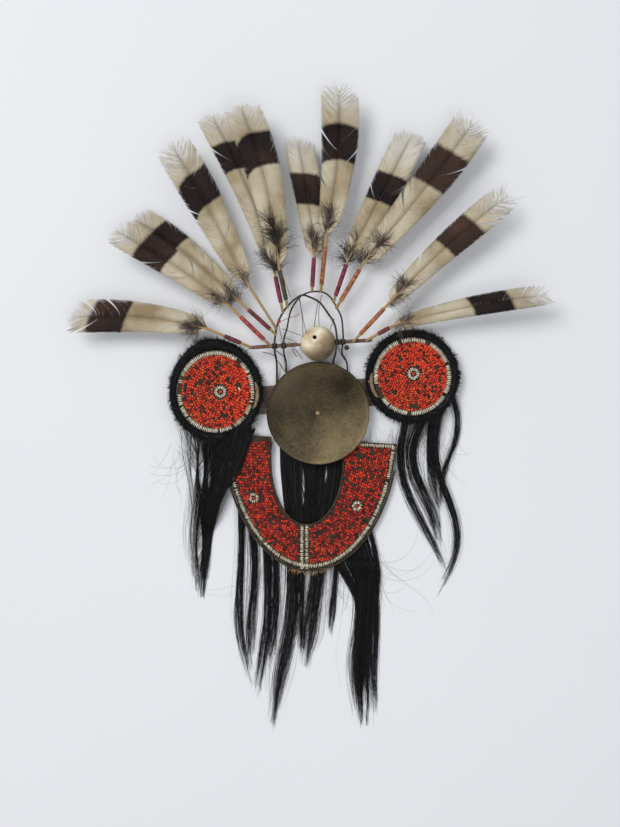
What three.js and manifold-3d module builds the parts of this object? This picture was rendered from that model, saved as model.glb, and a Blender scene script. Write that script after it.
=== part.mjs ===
// Feathered dance headdress, laid on its back: crown of barred hornbill feathers, brass disc,
// shell ball, two seeded ear discs with hair, and a U-shaped seeded bib with a hair fringe.
// Millimetres. +Z is the front, +Y is the top of the crown, z = 0 is the surface it lies on.
// The origin is the middle of the hide band's underside.
import * as THREE from 'three';
import { mergeVertices } from 'three/addons/utils/BufferGeometryUtils.js';
import Module from 'manifold-3d';

const wasm = await Module();
wasm.setup();

// Clearance between neighbouring pieces
const GAP = 0.3;

// Hide band
const BAND_LENGTH = 400;
const BAND_WIDTH = 50;
const BAND_WALL = 2.5;
const BAND_TURN = 4.4;

// Brass disc
const BRASS_RADIUS = 92;
const BRASS_WALL = 1.5;
const BRASS_DOME = 12;
const BRASS_DROP = 30.6;
const KNOT_RADIUS = 5.5;
const KNOT_STEM = 1.6;

// Shell ball and the cane rod through it
const BALL_RADIUS = 31.5;
const BALL_WALL = 4;
const BALL_HOLE = 3.6;
const ROD_RISE = 93.6;
const ROD_LENGTH = 221;
const ROD_RADIUS = 3.5;
const ROD_OFFSET = -13.5;
const ROD_TURN = 3.5;

// Cane hoops: room left and right of the ball, and how far each foot stands inside its leg
const FRONT_HOOP = { cane: 1.8, height: 85, leftRoom: 45.5, rightRoom: 4.5, side: 1, feet: [3, 9] };
const BACK_HOOP = { cane: 1.5, height: 93, leftRoom: 29.5, rightRoom: 13.5, side: -1, feet: [4, -7] };
const HOOP_FOOT = 72;

// Ear discs and their hair
const EAR_RADIUS = 70;
const EAR_DEPTH = 15;
const EAR_CROWN = 3;
const LEFT_EAR = { x: -183, y: 7.2, tall: 1.06 };
const RIGHT_EAR = { x: 169, y: 34.7, tall: 1 };
const PILE_WIDTH = 17;
const PILE_DEPTH = 8;

// Bib
const BIB_CENTRE = -13.5;
const BIB_WALL = 6;
const BIB_OUTER = { x: 156.6, y: 262, drop: 48.6 };
const BIB_MOUTH = { x: 63.5, y: 113, drop: 117, shift: -6.5 };
const BIB_TOP = 77;
const BIB_TOP_SLOPE = 0.06;
const CORD_RADIUS = 2;

// Hair
const FRINGE_HEAD = 6.7;
const FRINGE_LENGTH = 300;
const LOCK_LENGTH = 300;
const LOCK_WIDTH = 20;
const LOCK_HEIGHT = 7;
const BACK_HAIR_WIDTH = 116;
const BACK_HAIR_LENGTH = 212;

// Feathers
const VANE_LENGTH = 280;
const VANE_WIDTH = 66;
const VANE_WALL = 1.2;
const VANE_CAMBER = 2.4;
const QUILL_LENGTH = 90;
const QUILL_RADIUS = 2.4;
const WRAP_WALL = 1.6;
const QUILL_ROUND = 1.12;

// Height of each layer above the surface
const bibBase = FRINGE_HEAD + 2 * GAP;
const pileBase = bibBase + BIB_WALL + GAP;
const earBase = BAND_WALL + GAP;
const brassBase = pileBase + PILE_DEPTH + 2 * GAP;
const rodLevel = BALL_RADIUS;

// Turns a closed three.js geometry into a solid, and back
function solidOf(geometry) {
  const plain = geometry.clone();
  plain.deleteAttribute('normal');
  plain.deleteAttribute('uv');
  const merged = mergeVertices(plain, 1e-4);
  const mesh = new wasm.Mesh({
    numProp: 3,
    vertProperties: new Float32Array(merged.attributes.position.array),
    triVerts: new Uint32Array(merged.index.array),
  });
  return new wasm.Manifold(mesh);
}

function geometryOf(solid) {
  const mesh = solid.getMesh();
  const geometry = new THREE.BufferGeometry();
  geometry.setAttribute('position', new THREE.BufferAttribute(mesh.vertProperties, 3));
  geometry.setIndex(new THREE.BufferAttribute(mesh.triVerts, 1));
  return geometry;
}

// A closed skin through a row of rings with the same number of points, its faces turned out
function loft(rings, round = false) {
  const count = rings[0].length;
  const points = rings.flat();
  const index = [];
  const last = round ? rings.length : rings.length - 1;
  for (let r = 0; r < last; r += 1) {
    for (let i = 0; i < count; i += 1) {
      const j = (i + 1) % count;
      const a = r * count;
      const b = ((r + 1) % rings.length) * count;
      index.push(a + i, a + j, b + i, a + j, b + j, b + i);
    }
  }
  if (!round) {
    for (const [r, flip] of [[0, false], [rings.length - 1, true]]) {
      const middle = new THREE.Vector3();
      rings[r].forEach((p) => middle.addScaledVector(p, 1 / count));
      const hub = points.push(middle) - 1;
      for (let i = 0; i < count; i += 1) {
        const j = (i + 1) % count;
        const [one, two] = flip ? [i, j] : [j, i];
        index.push(r * count + one, r * count + two, hub);
      }
    }
  }
  let inside = 0;
  for (let i = 0; i < index.length; i += 3) {
    const [a, b, c] = [points[index[i]], points[index[i + 1]], points[index[i + 2]]];
    inside += a.dot(b.clone().cross(c));
  }
  if (inside < 0) index.reverse();
  const geometry = new THREE.BufferGeometry().setFromPoints(points);
  geometry.setIndex(index);
  return geometry;
}

function tube(curve, radius, sides, steps) {
  const round = new THREE.Shape();
  for (let i = 0; i < sides; i += 1) {
    const turn = (2 * Math.PI * i) / sides;
    const corner = [radius * Math.cos(turn), radius * Math.sin(turn)];
    if (i === 0) round.moveTo(...corner);
    else round.lineTo(...corner);
  }
  round.closePath();
  return new THREE.ExtrudeGeometry(round, { steps, extrudePath: curve, bevelEnabled: false });
}

function lathe(profile, segments) {
  const outline = profile.map(([r, y]) => new THREE.Vector2(r, y));
  return new THREE.LatheGeometry(outline, segments);
}

function smooth(value) {
  const t = Math.min(Math.max(value, 0), 1);
  return t * t * (3 - 2 * t);
}

const finish = (color, roughness, metalness = 0) =>
  new THREE.MeshStandardMaterial({ color, roughness, metalness });

const hide = finish(0x6b5c50, 0.85);
const brass = finish(0x6f6446, 0.42, 0.9);
const shell = finish(0xcfc4ac, 0.35);
const cane = finish(0x2c241d, 0.7);
const boundCane = finish(0x6a4a38, 0.8);
const hair = finish(0x151516, 0.6);
const seeds = finish(0xb8382a, 0.4);
const cord = finish(0x4a3c2c, 0.9);
const plume = finish(0xe2d8c2, 0.75);

const headdress = new THREE.Group();

function piece(name, geometry, material, parent = headdress) {
  const mesh = new THREE.Mesh(geometry, material);
  mesh.name = name;
  parent.add(mesh);
  return mesh;
}

// Hide band that joins the ear discs
function headBand() {
  const straight = BAND_LENGTH / 2 - BAND_WIDTH / 2;
  const strip = new THREE.Shape();
  strip.moveTo(-straight, -BAND_WIDTH / 2);
  strip.lineTo(straight, -BAND_WIDTH / 2);
  strip.absarc(straight, 0, BAND_WIDTH / 2, -Math.PI / 2, Math.PI / 2, false);
  strip.lineTo(-straight, BAND_WIDTH / 2);
  strip.absarc(-straight, 0, BAND_WIDTH / 2, Math.PI / 2, 1.5 * Math.PI, false);
  const body = new THREE.ExtrudeGeometry(strip, {
    depth: BAND_WALL, bevelEnabled: false, curveSegments: 8,
  });
  piece('head_band', body, hide).rotation.z = THREE.MathUtils.degToRad(BAND_TURN);
}

// Thin domed disc with a rolled lip and a hole for its knot
function brassDisc() {
  const holeRadius = KNOT_STEM + GAP;
  const steps = [1, 0.97, 0.8, 0.55, 0.3];
  const dome = (share) => BRASS_DOME * (1 - share * share);
  const under = steps.map((s) => [BRASS_RADIUS * s, dome(s)]);
  const over = steps.map((s) => [BRASS_RADIUS * s, dome(s) + BRASS_WALL]).reverse();
  const profile = [
    [holeRadius, BRASS_DOME], [holeRadius, BRASS_DOME + BRASS_WALL], ...over, ...under,
    [holeRadius, BRASS_DOME],
  ];
  const disc = piece('brass_disc', lathe(profile.reverse(), 40), brass);
  disc.rotation.x = Math.PI / 2;
  disc.position.set(0, -BRASS_DROP, brassBase);
}

// Cane knot in front of the disc, on a stem that runs back beside the band
function discKnot() {
  const foot = GAP;
  const seat = brassBase + BRASS_DOME + BRASS_WALL + GAP;
  const low = KNOT_RADIUS * 0.36;
  const high = KNOT_RADIUS * 0.73;
  const crown = KNOT_RADIUS * 0.84;
  const profile = [
    [0, foot], [KNOT_RADIUS, foot], [KNOT_RADIUS, foot + low], [KNOT_STEM, foot + high],
    [KNOT_STEM, seat], [KNOT_RADIUS, seat], [KNOT_RADIUS, seat + low],
    [KNOT_RADIUS * 0.6, seat + high], [0, seat + crown],
  ];
  const knot = piece('disc_knot', lathe(profile, 12), cord);
  knot.rotation.x = Math.PI / 2;
  knot.position.set(0, -BRASS_DROP, 0);
}

// Hollow shell ball with a bore for the rod and one hole in front
function shellBall() {
  const outer = solidOf(new THREE.SphereGeometry(BALL_RADIUS, 24, 14));
  const inner = solidOf(new THREE.SphereGeometry(BALL_RADIUS - BALL_WALL, 12, 8));
  const boreSize = ROD_RADIUS + GAP;
  const bore = new THREE.CylinderGeometry(boreSize, boreSize, 3 * BALL_RADIUS, 12);
  bore.rotateZ(Math.PI / 2 + THREE.MathUtils.degToRad(ROD_TURN));
  const hole = new THREE.CylinderGeometry(BALL_HOLE, BALL_HOLE, 2 * BALL_RADIUS, 12);
  hole.rotateX(Math.PI / 2);
  hole.translate(-BALL_RADIUS * 0.2, BALL_RADIUS * 0.31, BALL_RADIUS);
  const body = outer.subtract(inner).subtract(solidOf(bore)).subtract(solidOf(hole));
  piece('shell_ball', geometryOf(body), shell).position.set(0, ROD_RISE, rodLevel);
}

function crossRod() {
  const rod = new THREE.CylinderGeometry(ROD_RADIUS, ROD_RADIUS, ROD_LENGTH, 12);
  rod.rotateZ(Math.PI / 2);
  rod.translate(ROD_OFFSET, 0, 0);
  const mesh = piece('cross_rod', rod, boundCane);
  mesh.rotation.z = THREE.MathUtils.degToRad(ROD_TURN);
  mesh.position.set(0, ROD_RISE, rodLevel);
}

// Place on the rod, as a share of its length from its middle
function onRod(share) {
  const along = ROD_OFFSET + ROD_LENGTH * share;
  const turn = THREE.MathUtils.degToRad(ROD_TURN);
  return new THREE.Vector3(along * Math.cos(turn), ROD_RISE + along * Math.sin(turn), rodLevel);
}

// Each row is a share of the hoop's width from its left leg and of its height over the rod
const FRONT_ARCH = [
  { across: 0.0, rise: -0.18 }, { across: 0.0, rise: 0.08 }, { across: 0.06, rise: 0.47 }, { across: 0.21, rise: 0.79 },
  { across: 0.41, rise: 1.0 }, { across: 0.56, rise: 0.96 }, { across: 0.71, rise: 0.85 },
  { across: 0.84, rise: 0.62 }, { across: 0.94, rise: 0.4 }, { across: 0.98, rise: 0.08 },
  { across: 0.96, rise: -0.18 },
];
const BACK_ARCH = [
  { across: 0.0, rise: -0.18 }, { across: 0.0, rise: 0.08 }, { across: 0.05, rise: 0.29 }, { across: 0.12, rise: 0.64 },
  { across: 0.26, rise: 0.88 }, { across: 0.4, rise: 0.975 }, { across: 0.55, rise: 1.0 },
  { across: 0.67, rise: 0.98 }, { across: 0.79, rise: 0.88 }, { across: 0.9, rise: 0.67 },
  { across: 0.975, rise: 0.465 }, { across: 1.0, rise: 0.08 },
  { across: 0.98, rise: -0.18 },
];

function hoopLevel(hoop) {
  return rodLevel + hoop.side * (ROD_RADIUS + 2 * GAP + hoop.cane);
}

// The arch stands level over the rod, and both legs bend back to the band
function hoopCurve(hoop, arch) {
  const level = hoopLevel(hoop);
  const rest = BAND_WALL + GAP + hoop.cane;
  const footLine = ROD_RISE - HOOP_FOOT;
  const left = -BALL_RADIUS - hoop.leftRoom;
  const right = BALL_RADIUS + hoop.rightRoom;
  const points = arch.map((row) => new THREE.Vector3(
    left + (right - left) * row.across, ROD_RISE + hoop.height * row.rise, level));
  const leftFoot = left + hoop.feet[0];
  const rightFoot = right - hoop.feet[1];
  const kneeLine = ROD_RISE - HOOP_FOOT * 0.5;
  const knee = rest + (level - rest) * 0.25;
  points.unshift(new THREE.Vector3(leftFoot, kneeLine, knee));
  points.unshift(new THREE.Vector3(leftFoot, footLine, rest));
  points.push(new THREE.Vector3(rightFoot, kneeLine, knee));
  points.push(new THREE.Vector3(rightFoot, footLine, rest));
  return new THREE.CatmullRomCurve3(points, false, 'centripetal');
}

const frontCurve = hoopCurve(FRONT_HOOP, FRONT_ARCH);
const backCurve = hoopCurve(BACK_HOOP, BACK_ARCH);

// Ear disc: resin dome on a stiff backing
function earDisc(name, ear) {
  const top = EAR_DEPTH + EAR_CROWN;
  const profile = [
    [0, 0], [EAR_RADIUS * 0.94, 0], [EAR_RADIUS * 0.97, EAR_DEPTH * 0.13],
    [EAR_RADIUS * 0.97, EAR_DEPTH * 0.73], [EAR_RADIUS, EAR_DEPTH * 0.8],
    [EAR_RADIUS, EAR_DEPTH * 0.93], [EAR_RADIUS * 0.95, EAR_DEPTH],
    [EAR_RADIUS * 0.6, top - EAR_CROWN * 0.3], [0, top],
  ];
  const body = lathe(profile, 32);
  body.rotateX(Math.PI / 2);
  body.scale(1, ear.tall, 1);
  piece(name, body, seeds).position.set(ear.x, ear.y, earBase);
}

// One lock of hair from its root, falling toward -Y. The table's lean, bulge and wave are
// shares of the lock's length: straight drift, one bow and one S sideways.
// It keeps its root's level down to `hold`, then drops to the surface.
function lockSolid(lock, root, level, fullLength) {
  const length = fullLength * lock.length;
  const stations = 8;
  const rings = [];
  for (let k = 0; k < stations; k += 1) {
    const t = k / (stations - 1);
    const side = lock.lean * t + lock.bulge * Math.sin(Math.PI * t) + lock.wave * Math.sin(2 * Math.PI * t);
    const taper = t < 0.6 ? 1 : 1 - 0.8 * smooth((t - 0.6) / 0.4);
    const half = (LOCK_WIDTH * lock.width * taper) / 2;
    const tall = Math.min(LOCK_HEIGHT, 2.4 * half) * (0.6 + 0.4 * taper);
    const base = level * (1 - smooth((t - lock.hold) / 0.25));
    const x = root.x + length * side;
    const y = root.y - length * t;
    rings.push([
      new THREE.Vector3(x - half, y, base + tall * 0.35), new THREE.Vector3(x - half * 0.55, y, base),
      new THREE.Vector3(x + half * 0.55, y, base), new THREE.Vector3(x + half, y, base + tall * 0.35),
      new THREE.Vector3(x + half * 0.45, y, base + tall), new THREE.Vector3(x - half * 0.45, y, base + tall),
    ]);
  }
  return solidOf(loft(rings));
}

// Ring of ragged pile round an ear disc
function pileSolid(ear) {
  const steps = 32;
  const rings = [];
  for (let k = 0; k < steps; k += 1) {
    const turn = (2 * Math.PI * k) / steps;
    const ragged = 1 + 0.09 * Math.sin(k * 2.3) + 0.06 * Math.sin(k * 5.1);
    const inner = EAR_RADIUS + GAP;
    const outer = EAR_RADIUS + PILE_WIDTH * ragged;
    const at = (r, z) => new THREE.Vector3(r * Math.cos(turn), r * Math.sin(turn) * ear.tall, z);
    rings.push([
      at(inner, pileBase), at(outer * 0.99, pileBase), at(outer, pileBase + PILE_DEPTH * 0.4),
      at((inner + outer) / 2, pileBase + PILE_DEPTH), at(inner, pileBase + PILE_DEPTH * 0.75),
    ]);
  }
  const ring = loft(rings, true);
  ring.translate(ear.x, ear.y, 0);
  return solidOf(ring);
}

// Each row is one lock: the angle of its root on the disc (0 is straight down, + to the right),
// and its length, width and curve as shares
const LEFT_LOCKS = [
  { angle: -50, length: 1.03, width: 0.8, lean: 0.1, bulge: 0.012, wave: 0.037, hold: 0.0 },
  { angle: -28, length: 0.9, width: 0.85, lean: 0.05, bulge: 0.0, wave: 0.012, hold: 0.0 },
  { angle: -8, length: 0.66, width: 1.0, lean: -0.1, bulge: 0.0, wave: 0.0, hold: 0.0 },
  { angle: 18, length: 0.7, width: 1.0, lean: -0.25, bulge: 0.03, wave: 0.0, hold: 0.6 },
  { angle: 46, length: 0.42, width: 0.8, lean: -0.36, bulge: 0.08, wave: 0.0, hold: 1.0 },
];
const RIGHT_LOCKS = [
  { angle: -8, length: 0.94, width: 0.45, lean: 0.27, bulge: -0.11, wave: -0.026, hold: 0.0 },
  { angle: 14, length: 0.78, width: 0.85, lean: 0.14, bulge: -0.1, wave: -0.05, hold: 0.0 },
  { angle: 27, length: 0.6, width: 0.5, lean: 0.08, bulge: -0.05, wave: 0.0, hold: 0.0 },
  { angle: 40, length: 1.08, width: 0.5, lean: 0.0, bulge: 0.045, wave: -0.061, hold: 0.0 },
  { angle: 66, length: 0.72, width: 0.3, lean: -0.07, bulge: 0.03, wave: 0.05, hold: 0.0 },
];

function earHair(name, ear, locks) {
  let body = pileSolid(ear);
  for (const lock of locks) {
    const turn = THREE.MathUtils.degToRad(lock.angle);
    const reach = EAR_RADIUS + PILE_WIDTH * 0.45;
    const root = {
      x: ear.x + reach * Math.sin(turn),
      y: ear.y - reach * Math.cos(turn) * ear.tall,
    };
    body = body.add(lockSolid(lock, root, pileBase + 0.5, LOCK_LENGTH));
  }
  piece(name, geometryOf(body), hair);
}

// Bib outline: the outer edge is half an ellipse, cut by a slightly sloping top edge
function bibEdge(size, turn, grow = 0) {
  return new THREE.Vector2(
    BIB_CENTRE + (size.shift ?? 0) + (size.x + grow) * Math.cos(turn),
    -size.drop + (size.y + grow) * Math.sin(turn));
}

function topLine(x) {
  return -BIB_TOP - BIB_TOP_SLOPE * (x - BIB_CENTRE);
}

// Angle where the outer ellipse meets the top edge, on the right (+1) or the left (-1)
function topAngle(size, side) {
  let turn = side > 0 ? 0 : -Math.PI;
  for (let k = 0; k < 12; k += 1) {
    const edge = bibEdge(size, turn);
    const rise = (topLine(edge.x) + size.drop) / size.y;
    turn = side > 0 ? Math.asin(rise) : -Math.PI - Math.asin(rise);
  }
  return turn;
}

function bib() {
  const right = topAngle(BIB_OUTER, 1);
  const left = topAngle(BIB_OUTER, -1);
  const outline = [];
  const outerSteps = 34;
  for (let k = 0; k <= outerSteps; k += 1) {
    outline.push(bibEdge(BIB_OUTER, left + ((right - left) * k) / outerSteps));
  }
  const mouthSteps = 22;
  const mouth = [];
  for (let k = 0; k <= mouthSteps; k += 1) {
    mouth.push(bibEdge(BIB_MOUTH, -(Math.PI * k) / mouthSteps));
  }
  const rightTop = new THREE.Vector2(mouth[0].x, topLine(mouth[0].x));
  const leftTop = new THREE.Vector2(mouth.at(-1).x, topLine(mouth.at(-1).x));
  const shape = new THREE.Shape([...outline, rightTop, ...mouth, leftTop]);
  const body = new THREE.ExtrudeGeometry(shape, { depth: BIB_WALL, bevelEnabled: false });
  piece('bib', body, seeds).position.z = bibBase;
}

// Twisted cord along the bib's outer edge
function bibCord() {
  const right = topAngle(BIB_OUTER, 1);
  const left = topAngle(BIB_OUTER, -1);
  const points = [];
  const steps = 22;
  for (let k = 0; k <= steps; k += 1) {
    const edge = bibEdge(BIB_OUTER, left + ((right - left) * (k + 1.5)) / (steps + 3), CORD_RADIUS + 2 * GAP);
    points.push(new THREE.Vector3(edge.x, edge.y, bibBase + BIB_WALL / 2));
  }
  piece('bib_cord', tube(new THREE.CatmullRomCurve3(points), CORD_RADIUS, 6, 32), cord);
}

// Each row is one lock: the angle of its root on the bib's outer edge (0 is the bottom, + right)
const FRINGE = [
  { angle: -58, length: 1.1, width: 0.45, lean: 0.06, bulge: -0.035, wave: 0.015, hold: 0 },
  { angle: -47, length: 0.9, width: 0.5, lean: 0.0, bulge: 0.02, wave: 0.015, hold: 0 },
  { angle: -32, length: 0.9, width: 0.55, lean: -0.067, bulge: 0.04, wave: 0.0, hold: 0 },
  { angle: -25, length: 0.68, width: 0.45, lean: -0.05, bulge: 0.02, wave: 0.0, hold: 0 },
  { angle: -12, length: 1.0, width: 0.95, lean: -0.123, bulge: 0.02, wave: 0.01, hold: 0 },
  { angle: -5, length: 0.53, width: 0.3, lean: -0.03, bulge: 0.0, wave: 0.0, hold: 0 },
  { angle: 6, length: 0.63, width: 1.0, lean: -0.14, bulge: 0.0, wave: 0.0, hold: 0 },
  { angle: 19, length: 0.46, width: 0.3, lean: -0.09, bulge: 0.0, wave: 0.0, hold: 0 },
  { angle: 30, length: 1.03, width: 1.2, lean: 0.04, bulge: 0.045, wave: 0.026, hold: 0 },
  { angle: 37, length: 1.05, width: 1.0, lean: 0.05, bulge: 0.025, wave: 0.03, hold: 0 },
  { angle: 44, length: 0.5, width: 0.3, lean: 0.08, bulge: 0.07, wave: 0.0, hold: 0 },
];

function hairFringe() {
  const headWidth = 16;
  const rings = [];
  const steps = 24;
  const start = THREE.MathUtils.degToRad(-90 - 62);
  const end = THREE.MathUtils.degToRad(-90 + 50);
  for (let k = 0; k <= steps; k += 1) {
    const turn = start + ((end - start) * k) / steps;
    const inner = bibEdge(BIB_OUTER, turn, -headWidth - 2);
    const outer = bibEdge(BIB_OUTER, turn, -2);
    rings.push([
      new THREE.Vector3(inner.x, inner.y, 0), new THREE.Vector3(inner.x, inner.y, FRINGE_HEAD),
      new THREE.Vector3(outer.x, outer.y, FRINGE_HEAD), new THREE.Vector3(outer.x, outer.y, 0),
    ]);
  }
  let body = solidOf(loft(rings));
  for (const lock of FRINGE) {
    const turn = THREE.MathUtils.degToRad(lock.angle - 90);
    const root = bibEdge(BIB_OUTER, turn, -headWidth / 2);
    body = body.add(lockSolid(lock, root, 0, FRINGE_LENGTH));
  }
  piece('hair_fringe', geometryOf(body), hair);
}

// Flat bundle of hair behind the bib's mouth. Each row is a share down its length, with the
// bundle's middle and half width as shares of its full width.
const BUNDLE = [
  { down: 0.0, middle: 0.02, half: 0.36, tall: 0.8 }, { down: 0.2, middle: 0.03, half: 0.46, tall: 1 },
  { down: 0.45, middle: 0.05, half: 0.46, tall: 1 }, { down: 0.7, middle: 0.03, half: 0.4, tall: 1 },
  { down: 1.0, middle: 0.0, half: 0.25, tall: 1 },
];

function backHair() {
  const top = -BRASS_DROP - 2 * KNOT_RADIUS;
  const middleLine = BIB_CENTRE + BIB_MOUTH.shift;
  const rings = BUNDLE.map((row) => {
    const x = middleLine + BACK_HAIR_WIDTH * row.middle;
    const y = top - BACK_HAIR_LENGTH * row.down;
    const half = BACK_HAIR_WIDTH * row.half;
    const tall = FRINGE_HEAD * row.tall;
    return [
      new THREE.Vector3(x - half, y, tall * 0.4), new THREE.Vector3(x - half * 0.8, y, 0),
      new THREE.Vector3(x + half * 0.8, y, 0), new THREE.Vector3(x + half, y, tall * 0.4),
      new THREE.Vector3(x + half * 0.6, y, tall), new THREE.Vector3(x, y, tall * 0.85),
      new THREE.Vector3(x - half * 0.6, y, tall),
    ];
  });
  piece('back_hair', loft(rings), hair);
}

// Each row is one feather: what carries its quill and where, its bearing in degrees from +Y
// (clockwise) and its rise in degrees, then its quill, vane and width as shares of the named
// sizes, its sideways sway as a share of the vane, how late it sways, and the bound stretch.
const FEATHERS = [
  { name: '1', on: 'rod', at: -0.48, bearing: -67, rise: 1.7, quill: 0.92, vane: 0.845, width: 0.97, sway: -0.362, late: 1.15, wrap: [0.24, 0.62] },
  { name: '2_front', on: 'rod', at: -0.32, bearing: -46, rise: 3.5, quill: 1.16, vane: 0.84, width: 0.85, sway: -0.2, late: 1.2, wrap: [0.16, 0.72] },
  { name: '2_back', on: 'front', at: 0.26, bearing: -48, rise: -2.5, quill: 1.03, vane: 0.9, width: 0.9, sway: -0.12, late: 1.3, wrap: [0.14, 0.7] },
  { name: '3', on: 'front', at: 0.285, bearing: -32.7, rise: 2.3, quill: 1.08, vane: 0.99, width: 1.02, sway: 0.045, late: 1.5, wrap: null },
  { name: '4_front', on: 'front', at: 0.4, bearing: -12.3, rise: 3.2, quill: 0.8, vane: 1.06, width: 1.0, sway: -0.065, late: 1.5, wrap: [0.16, 0.9] },
  { name: '4_back', on: 'front', at: 0.365, bearing: -11.6, rise: -1, quill: 0.9, vane: 1.05, width: 0.95, sway: -0.21, late: 1.4, wrap: [0.22, 0.8] },
  { name: '5_back', on: 'back', at: 0.485, bearing: 3.4, rise: -1.5, quill: 0.7, vane: 0.78, width: 0.85, sway: -0.2, late: 1.3, wrap: [0.14, 0.95] },
  { name: '5_front', on: 'back', at: 0.525, bearing: 5.5, rise: 3.6, quill: 1.12, vane: 0.96, width: 1.03, sway: -0.05, late: 1.8, wrap: [0.12, 0.8] },
  { name: '6', on: 'back', at: 0.6, bearing: 19, rise: 1, quill: 0.84, vane: 0.97, width: 0.9, sway: 0.12, late: 1.3, wrap: [0.14, 0.92] },
  { name: '7', on: 'back', at: 0.63, bearing: 31, rise: 3.6, quill: 1.03, vane: 1.2, width: 1.05, sway: 0.083, late: 1.3, wrap: [0.14, 0.85] },
  { name: '8', on: 'rod', at: 0.35, bearing: 42.9, rise: 3, quill: 1.03, vane: 1.03, width: 0.82, sway: 0.1, late: 1.3, wrap: [0.18, 0.85] },
  { name: '9', on: 'rod', at: 0.455, bearing: 61, rise: 5, quill: 0.6, vane: 0.97, width: 0.62, sway: 0.34, late: 1.1, wrap: [0.42, 0.85] },
];

// Vane outline from base to tip: share along it, and its left and right width as shares
const OUTLINE = [
  { along: 0.0, left: 0.08, right: 0.08 }, { along: 0.04, left: 0.38, right: 0.38 },
  { along: 0.15, left: 0.62, right: 0.6 }, { along: 0.3, left: 0.76, right: 0.74 },
  { along: 0.45, left: 0.86, right: 0.84 }, { along: 0.6, left: 0.96, right: 0.94 },
  { along: 0.75, left: 1.0, right: 1.0 }, { along: 0.87, left: 0.98, right: 0.98 },
  { along: 0.95, left: 0.8, right: 0.82 }, { along: 1.0, left: 0.4, right: 0.42 },
];

// One feather in its own frame: the quill starts at the origin and runs along +Y
function featherBody(row) {
  const quill = QUILL_LENGTH * row.quill;
  const vane = VANE_LENGTH * row.vane;
  const half = (VANE_WIDTH * row.width) / 2;
  const section = (x, y, left, right, thick, shaft, camber) => [
    new THREE.Vector3(x - left, y, -camber), new THREE.Vector3(x - shaft, y, -thick),
    new THREE.Vector3(x + shaft, y, -thick), new THREE.Vector3(x + right, y, -camber),
    new THREE.Vector3(x + right, y, -camber + VANE_WALL), new THREE.Vector3(x + shaft, y, thick),
    new THREE.Vector3(x - shaft, y, thick), new THREE.Vector3(x - left, y, -camber + VANE_WALL),
  ];
  const round = (y, r) => section(0, y, r, r, r * 0.95, r * 0.5, VANE_WALL / 2);
  const rings = [round(-4, QUILL_RADIUS * 0.8), round(0, QUILL_RADIUS), round(quill - 1, QUILL_RADIUS)];
  for (const spot of OUTLINE) {
    const x = row.sway * vane * spot.along ** row.late;
    const shaft = QUILL_RADIUS * (1 - 0.6 * spot.along) * 0.6;
    const thick = Math.max(VANE_WALL / 2, QUILL_RADIUS * 0.9 * (1 - spot.along));
    const camber = VANE_CAMBER * smooth(spot.along * 4);
    const left = Math.max(half * spot.left, shaft * 1.6);
    const right = Math.max(half * spot.right, shaft * 1.6);
    rings.push(section(x, quill + vane * spot.along, left, right, thick, shaft, camber));
  }
  return loft(rings);
}

// Thread bound round the quill, swollen in the middle
function wrapBody(row) {
  const from = QUILL_LENGTH * row.quill * row.wrap[0];
  const to = QUILL_LENGTH * row.quill * row.wrap[1];
  const bore = QUILL_RADIUS * QUILL_ROUND + GAP;
  const full = bore + WRAP_WALL;
  const slim = bore + WRAP_WALL * 0.6;
  const span = to - from;
  const profile = [
    [bore, from], [slim, from], [full, from + span * 0.15], [full, to - span * 0.2], [slim, to],
    [bore, to], [bore, from],
  ];
  return lathe(profile, 8);
}

const HOLDS = {
  rod: { place: onRod, radius: ROD_RADIUS, level: rodLevel },
  front: { place: (u) => frontCurve.getPointAt(u), radius: FRONT_HOOP.cane, level: hoopLevel(FRONT_HOOP) },
  back: { place: (u) => backCurve.getPointAt(u), radius: BACK_HOOP.cane, level: hoopLevel(BACK_HOOP) },
};

function feather(row) {
  const hold = HOLDS[row.on];
  const spot = hold.place(row.at);
  const stand = new THREE.Group();
  stand.position.set(spot.x, spot.y, hold.level + hold.radius + GAP + QUILL_RADIUS);
  stand.rotation.z = THREE.MathUtils.degToRad(-row.bearing);
  const tilt = new THREE.Group();
  tilt.rotation.x = THREE.MathUtils.degToRad(row.rise);
  stand.add(tilt);
  headdress.add(stand);
  piece(`feather_${row.name}`, featherBody(row), plume, tilt);
  if (row.wrap) piece(`quill_wrap_${row.name}`, wrapBody(row), boundCane, tilt);
}

headBand();
brassDisc();
discKnot();
shellBall();
crossRod();
piece('hoop_front', tube(frontCurve, FRONT_HOOP.cane, 6, 36), cane);
piece('hoop_back', tube(backCurve, BACK_HOOP.cane, 6, 36), cane);
earDisc('ear_disc_left', LEFT_EAR);
earDisc('ear_disc_right', RIGHT_EAR);
earHair('ear_hair_left', LEFT_EAR, LEFT_LOCKS);
earHair('ear_hair_right', RIGHT_EAR, RIGHT_LOCKS);
bib();
bibCord();
hairFringe();
backHair();
FEATHERS.forEach(feather);

export default headdress;
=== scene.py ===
# %% [markdown]
# A feathered dance headdress lies on its back on a pale surface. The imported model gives
# every piece its size and place. This lesson dresses it: feathers from single barbs,
# hair from single strands, seeds set one by one in resin, and turned brass and shell.

# %% Load the frame
import math

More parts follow.
